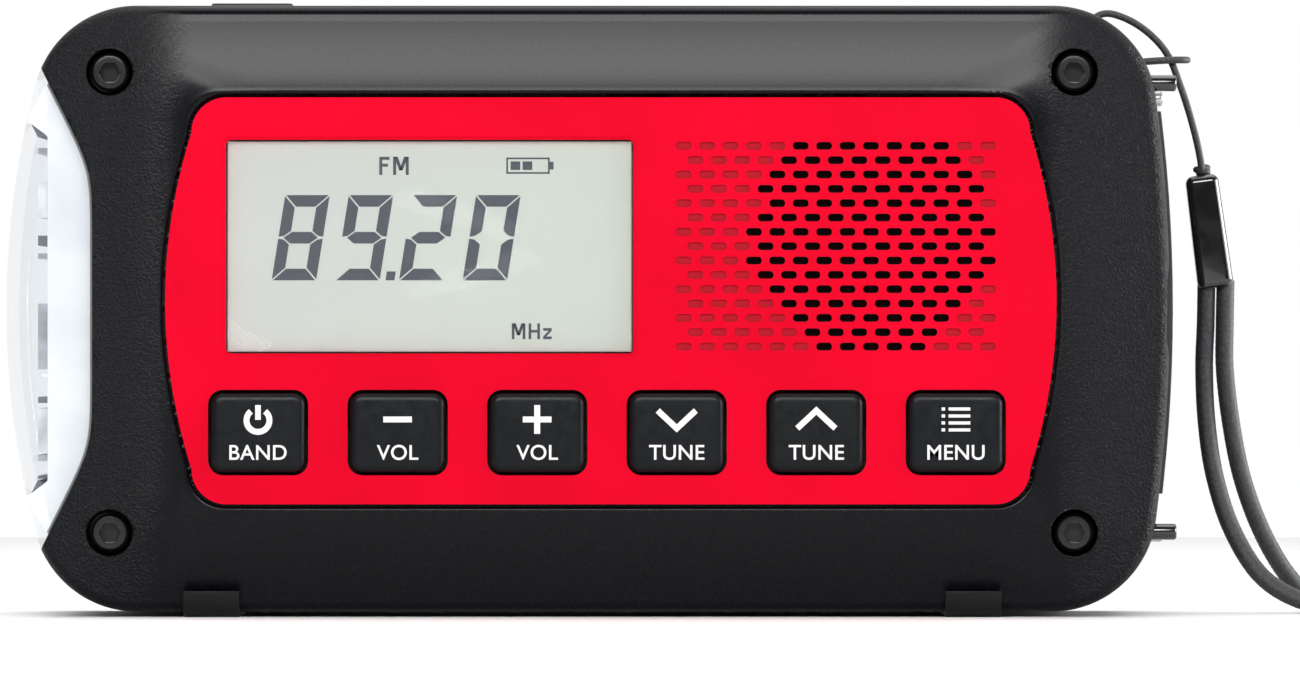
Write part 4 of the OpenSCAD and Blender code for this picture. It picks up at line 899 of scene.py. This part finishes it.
# ---- Lamp end ------------------------------------------------------------------------------
# A clear polycarbonate cap, 1.6 mm thick, wraps the left end. Behind it a bright metallised reflector, drawn
# white with a painted glow, carries a row of square light emitters, seen edge on from the front.
def case_solid(name, inset, round_r=3.2 * MM):
    """The closed outer form of the case, moved inwards: the front outline carried from front to
    rear, with both edges rounded."""
    rows = []
    y0, y1 = front_y + 1.3 * MM + inset, rear_y - inset
    for a in np.linspace(0, 90, 10):
        c, s = math.cos(math.radians(a)), math.sin(math.radians(a))
        rows.append(ring(body_outline(inset + round_r * (1 - s)), y0 + round_r * (1 - c)))
    for a in np.linspace(90, 0, 10):
        c, s = math.cos(math.radians(a)), math.sin(math.radians(a))
        rows.append(ring(body_outline(inset + 5 * MM * (1 - s)), y1 - 5 * MM * (1 - c)))
    return outward(grid_mesh(name, np.array(rows), caps=(True, True)))


lens_wall = 1.6 * MM
lens = case_solid("lamp_cap", 0)
cut(lens, [prism("knife", lens_boundary(-0.06 * MM), -0.1, 0.1)], "INTERSECT")
cut(lens, [case_solid("knife", lens_wall)])
soften(lens, 0.3 * MM)
lens_material = clear_material("clear_polycarbonate", (0.95, 0.96, 0.97), 0.05, 0.35)
dress(lens, lens_material)
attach(lens, "housing")
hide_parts("lamp_lens")

# The reflector is white with a faint emission, a painted glow: the lamp is not lit.
reflector_glow_material, tree, shader = new_material("reflector_white_painted_glow", (0.82, 0.83, 0.84), 0.22,
                                            Emission_Strength=0.2, Emission_Color=(1, 1, 1, 1))
cloud = object_noise(tree, 90, 2)
tree.links.new(ramp(tree, cloud.outputs["Fac"], (0.74, 0.76, 0.78), (0.88, 0.89, 0.9), 0.3, 0.6),
               shader.inputs["Base Color"])
face_x, flare = -70.4 * MM, 2.5 * MM
side = lens_boundary(-0.35 * MM)[:-2][4:-4]
tray_reach = 22.3 * MM
tray_outline = np.vstack([side, [(-69.6 * MM, mid_z + 30.6 * MM), (face_x - flare, mid_z + 25 * MM),
                                 (face_x - flare, mid_z + 24.2 * MM), (face_x, mid_z + tray_reach),
                                 (face_x, mid_z - tray_reach), (face_x - flare, mid_z - 24.2 * MM),
                                 (face_x - flare, mid_z - 25 * MM), (-69.6 * MM, mid_z - 30.6 * MM)]])
tray = prism("reflector_tray", tray_outline, front_y + 4.2 * MM, rear_y - 4 * MM)
soften(tray, 0.5 * MM)
dress(tray, reflector_glow_material)
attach(tray, "housing")
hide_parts("lamp_reflector")

# The emitters are alike: their pale, grey and dark tones are painted light and shade, copied from how lit
# each one looks, and the two dark slanting pieces on the tray's bends are painted shade.
tone_of = {"pale": (0.55, 0.56, 0.57), "grey": (0.3, 0.31, 0.33), "dark": (0.12, 0.13, 0.15)}
# Tone, height above the middle and tall side of each emitter seen edge on, in mm
emitters = [("pale", 14.1, 4.7), ("dark", 8.8, 1.3), ("grey", 6.8, 0.7), ("grey", -3.6, 8.5),
            ("pale", -8.6, 0.5), ("dark", -11.8, 0.8), ("pale", -15.7, 5.6), ("grey", -19.3, 0.8),
            ("grey", 20.4, 0.8), ("dark", -21.8, 0.4)]
for tone, color in tone_of.items():
    material, tree, shader = new_material("emitter_" + tone, color, 0.3)
    cloud = object_noise(tree, 260, 2)
    tree.links.new(ramp(tree, cloud.outputs["Fac"], color, tuple(min(1, 1.7 * c) for c in color), 0.3, 0.7),
                   shader.inputs["Base Color"])
    blocks = [bar(face_x - 1.25 * MM, face_x - 0.05 * MM, mid_z + (z - h / 2) * MM, mid_z + (z + h / 2) * MM)
              for kind, z, h in emitters if kind == tone]
    if tone == "dark":
        blocks += [[(face_x - flare, mid_z + w * 24.6 * MM), (face_x - 1.3 * MM, mid_z + w * 22.2 * MM),
                    (face_x - 0.7 * MM, mid_z + w * 22.4 * MM),
                    (face_x - flare + 0.6 * MM, mid_z + w * 25 * MM)]
                   for w in (1, -1)]
    strip = flat_pieces("emitters_" + tone, blocks, front_y + 5 * MM, 34 * MM)
    dress(strip, material)
    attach(strip, "housing")
    if tone == "dark":
        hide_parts("lamp_leds")


# ---- Right end -----------------------------------------------------------------------------
# A black hinged cover hides the sockets. Four short moulded posts stand out of the corners: the
# front pair is glossy black and the rear pair is bright.
def turned_x(name, profile, y, z, sides=32):
    """A closed turned piece round an axis along X: the profile gives radius and X."""
    a = np.linspace(0, 2 * np.pi, sides, endpoint=False)
    p = np.array(profile, float)
    r, x = p[:, :1], np.repeat(p[:, 1:], sides, 1)
    return outward(grid_mesh(name, np.stack([x, y + r * np.cos(a), z + r * np.sin(a)], -1),
                             caps=(True, True)))


def post(name, y, z, tip, material):
    """One end post: a cylinder with a small round at its tip."""
    r = 1.05 * MM
    piece = turned_x(name, [(r * 0.98, tip - 6 * MM), (r, tip - 5.5 * MM), (r, tip - 0.35 * MM),
                            (r - 0.1 * MM, tip - 0.1 * MM), (r - 0.35 * MM, tip)], y, z)
    dress(piece, material)
    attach(piece, "housing")
    return piece


post_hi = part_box("end_posts")[1]
bright_material, tree, shader = new_material("bright_moulding", (0.55, 0.56, 0.58), 0.2, Metallic=0.5)
smudge = object_noise(tree, 420)
tree.links.new(ramp(tree, smudge.outputs["Fac"], (0.15,) * 3, (0.28,) * 3), shader.inputs["Roughness"])
front_post = post("post_front_top", front_y + 8.2 * MM, mid_z + 29.2 * MM, post_hi[0], gloss_material)
post("post_front_low", front_y + 8.2 * MM, mid_z - 28.9 * MM, post_hi[0], gloss_material)
post("post_rear_top", rear_y - 13.5 * MM, mid_z + 27.6 * MM, post_hi[0] - 0.9 * MM, bright_material)
post("post_rear_low", rear_y - 13.5 * MM, mid_z - 29.5 * MM, post_hi[0] - 0.9 * MM, bright_material)
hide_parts("end_posts")


def cad_edges(name, width, angle=40, segments=2):
    """Modifiers that join a CAD node's faces, round its edges and shade it smoothly."""
    piece = cad(name)
    weld = piece.modifiers.new("weld", "WELD")
    weld.merge_threshold = 1e-6
    bevel = piece.modifiers.new("edge_round", "BEVEL")
    bevel.width, bevel.segments, bevel.limit_method = width, segments, "ANGLE"
    bevel.angle_limit = math.radians(angle)
    piece.data.polygons.foreach_set("use_smooth", [True] * len(piece.data.polygons))
    weighted = piece.modifiers.new("weighted", "WEIGHTED_NORMAL")
    weighted.keep_sharp = True
    return piece


side_material, tree, shader = new_material("side_nylon", (0.014, 0.015, 0.017), 0.4)
grain(tree, shader, 3800, 0.03 * MM, 0.8)
dress(cad_edges("port_cover", 0.2 * MM), side_material)


# ---- Feet ----------------------------------------------------------------------------------
# Two moulded rubber feet wrap under the front edge of the case.
foot_material, tree, shader = new_material("foot_rubber", (0.005, 0.0055, 0.0065), 0.5,
                                           Specular_IOR_Level=0.2)
grain(tree, shader, 2800, 0.03 * MM, 0.7)
dress(cad_edges("rubber_feet", 0.15 * MM), foot_material)


# ---- Other materials -----------------------------------------------------------------------
# What is left of the CAD model keeps its shape. Each material slot has one finish: colour,
# roughness, metal, the scale of its fine relief in cells a metre and that relief's depth in mm.
FINISHES = {
    "shell_black": ((0.006, 0.0065, 0.008), 0.42, 0, 3800, 0.03),
    "seal_rubber": ((0.01, 0.01, 0.01), 0.6, 0, 900, 0.02),
    "display": ((0.5, 0.52, 0.5), 0.4, 0, 600, 0.005),
    "circuit_board": ((0.01, 0.11, 0.04), 0.4, 0, 700, 0.02),
    "switch_metal": ((0.55, 0.56, 0.58), 0.3, 1, 1500, 0.005),
    "key_black": ((0.012, 0.014, 0.016), 0.42, 0, 3600, 0.02),
    "cloth": ((0.006, 0.006, 0.006), 0.9, 0, 3000, 0.15),
    "speaker_steel": ((0.4, 0.41, 0.43), 0.38, 1, 1200, 0.01),
    "cone_paper": ((0.02, 0.02, 0.022), 0.8, 0, 1500, 0.08),
    "magnet": ((0.12, 0.12, 0.13), 0.45, 0.8, 800, 0.03),
    "solar_glass": ((0.01, 0.012, 0.03), 0.08, 0, 60, 0.005),
    "solar_cell": ((0.008, 0.014, 0.06), 0.22, 0, 500, 0.01),
    "lamp_white": ((0.75, 0.75, 0.73), 0.35, 0, 500, 0.01),
    "cell_wrap": ((0.015, 0.09, 0.32), 0.3, 0, 300, 0.01),
    "holder_black": ((0.012, 0.012, 0.013), 0.5, 0, 2500, 0.03),
    "brass": ((0.55, 0.38, 0.13), 0.28, 1, 1800, 0.01),
    "crank_black": ((0.012, 0.013, 0.014), 0.4, 0, 3400, 0.035),
    "gear_white": ((0.72, 0.7, 0.64), 0.45, 0, 900, 0.01),
    "pin_steel": ((0.6, 0.61, 0.62), 0.2, 1, 2200, 0.004),
    "frame_steel": ((0.42, 0.43, 0.45), 0.35, 1, 1600, 0.01),
    "copper": ((0.6, 0.22, 0.08), 0.35, 1, 2600, 0.1),
    "ferrite": ((0.03, 0.03, 0.033), 0.55, 0, 1400, 0.04),
    "mast_chrome": ((0.7, 0.71, 0.72), 0.12, 1, 2400, 0.003),
    "socket_metal": ((0.6, 0.61, 0.62), 0.25, 1, 1500, 0.005),
}
finishes_made = {}
for part in frame["record"]["subparts"]:
    name, slot = part["node"], part["material_slot"]
    if slot not in FINISHES or name in ("port_cover", "rubber_feet"):
        continue
    if slot not in finishes_made:
        color, roughness, metal, scale, depth = FINISHES[slot]
        material, tree, shader = new_material(slot + "_finish", color, roughness, Metallic=metal,
                                              Specular_IOR_Level=0.2 if max(color) < 0.02 else 0.5)
        noise = grain(tree, shader, scale, depth * MM, 0.8)
        tree.links.new(ramp(tree, noise.outputs["Fac"], tuple(0.85 * c for c in color),
                            tuple(min(1, 1.15 * c) for c in color)), shader.inputs["Base Color"])
        finishes_made[slot] = material
    dress(cad(name), finishes_made[slot])
# The solar panel shows its cells: a pale finger every 4.2 mm of X, and a bus line every 9 mm of Y
panel = finishes_made["solar_glass"].node_tree
shader = next(node for node in panel.nodes if node.type == "BSDF_PRINCIPLED")
blue = shader.inputs["Base Color"].links[0].from_socket
place = panel.nodes.new("ShaderNodeTexCoord")
split = panel.nodes.new("ShaderNodeSeparateXYZ")
panel.links.new(place.outputs["Object"], split.inputs["Vector"])
lines = []
for side, pitch in (("X", 4.2 * MM), ("Y", 9 * MM)):
    fold = panel.nodes.new("ShaderNodeMath")
    fold.operation = "PINGPONG"
    fold.inputs[1].default_value = pitch / 2
    thin = panel.nodes.new("ShaderNodeMath")
    thin.operation = "LESS_THAN"
    thin.inputs[1].default_value = 0.12 * MM
    panel.links.new(split.outputs[side], fold.inputs[0])
    panel.links.new(fold.outputs["Value"], thin.inputs[0])
    lines.append(thin)
either = panel.nodes.new("ShaderNodeMath")
either.operation = "MAXIMUM"
panel.links.new(lines[0].outputs["Value"], either.inputs[0])
panel.links.new(lines[1].outputs["Value"], either.inputs[1])
printed = panel.nodes.new("ShaderNodeMix")
printed.data_type = "RGBA"
panel.links.new(either.outputs["Value"], printed.inputs[0])
panel.links.new(blue, printed.inputs[6])
printed.inputs[7].default_value = (0.2, 0.21, 0.23, 1)
panel.links.new(printed.outputs[2], shader.inputs["Base Color"])
for name, width in (("rear_shell", 0.3), ("crank_well", 0.25), ("crank_hub", 0.25), ("crank_arm", 0.4),
                    ("crank_knob", 0.8), ("antenna_turret", 0.25), ("lamp_button", 0.5),
                    ("solar_cover", 0.1), ("antenna_tip", 0.2), ("port_bezel", 0.2),
                    ("port_cover_pin", 0.05)):
    cad_edges(name, width * MM)
for name in ("antenna_mast", "antenna_tube_2", "antenna_tube_3", "battery_cell", "ferrite_rod"):
    cad_edges(name, 0.08 * MM)


# ---- Floor and lights ----------------------------------------------------------------------
# A pale seamless table under a large overhead soft light, a broad front panel that lights the
# sloping top of the frame, and a surround that is dim in front and bright behind.
def make_floor(radius=0.75, sides=96):
    """A flat disc at the height of the feet, far larger than the view."""
    a = np.linspace(0, 2 * np.pi, sides, endpoint=False)
    mesh = bpy.data.meshes.new("floor")
    points = np.stack([radius * np.cos(a), radius * np.sin(a), np.zeros(sides)], 1)
    mesh.from_pydata(points.tolist(), [], [list(range(sides))])
    piece = bpy.data.objects.new("floor", mesh)
    bpy.context.collection.objects.link(piece)
    return piece


floor_material, tree, shader = new_material("pale_floor", (0.9, 0.9, 0.9), 0.7)
floor = dress(make_floor(), floor_material)


def area_light(name, place, aim, size, watts):
    """A rectangular soft light at a place, turned to face the aim."""
    data = bpy.data.lights.new(name, "AREA")
    data.shape = "RECTANGLE"
    data.size, data.size_y = size
    data.energy = watts
    lamp = bpy.data.objects.new(name, data)
    lamp.location = place
    lamp.rotation_euler = (Vector(aim) - Vector(place)).to_track_quat("-Z", "Y").to_euler()
    bpy.context.collection.objects.link(lamp)
    return lamp


middle = (0, 0, 0.04)
area_light("overhead", (0, 0.15, 0.9), middle, (1.2, 0.8), 8)
area_light("front_high", (-0.1, -1.0, 0.58), middle, (1.1, 0.26), 8)
# Two panels that only reflections see: one draws the sheen of the sloping top, one the right rim
area_light("top_sheen", (-0.1, -1.05, 0.62), middle, (1.3, 0.3), 13).visible_diffuse = False
area_light("rim_sheen", (0.9, 0.1, 0.12), middle, (0.5, 0.5), 18).visible_diffuse = False
area_light("right_side", (0.85, -0.3, 0.2), middle, (0.3, 0.6), 3)

world = bpy.data.worlds.new("surround")
bpy.context.scene.world = world
world.use_nodes = True
tree = world.node_tree
backdrop = tree.nodes["Background"]
backdrop.inputs["Color"].default_value = (1, 1, 1, 1)
sky = tree.nodes.new("ShaderNodeTexCoord")
toward = tree.nodes.new("ShaderNodeSeparateXYZ")
tree.links.new(sky.outputs["Generated"], toward.inputs["Vector"])
level = tree.nodes.new("ShaderNodeMapRange")
level.inputs["From Min"].default_value = -0.25
level.inputs["From Max"].default_value = 0.35
level.inputs["To Min"].default_value = 0.08
level.inputs["To Max"].default_value = 0.9
tree.links.new(toward.outputs["Y"], level.inputs["Value"])
rays = tree.nodes.new("ShaderNodeLightPath")
strength = tree.nodes.new("ShaderNodeMix")
tree.links.new(rays.outputs["Is Camera Ray"], strength.inputs[0])
tree.links.new(level.outputs["Result"], strength.inputs[2])
strength.inputs[3].default_value = 1.0
tree.links.new(strength.outputs[0], backdrop.inputs["Strength"])
bpy.context.scene.view_settings.view_transform = "Standard"
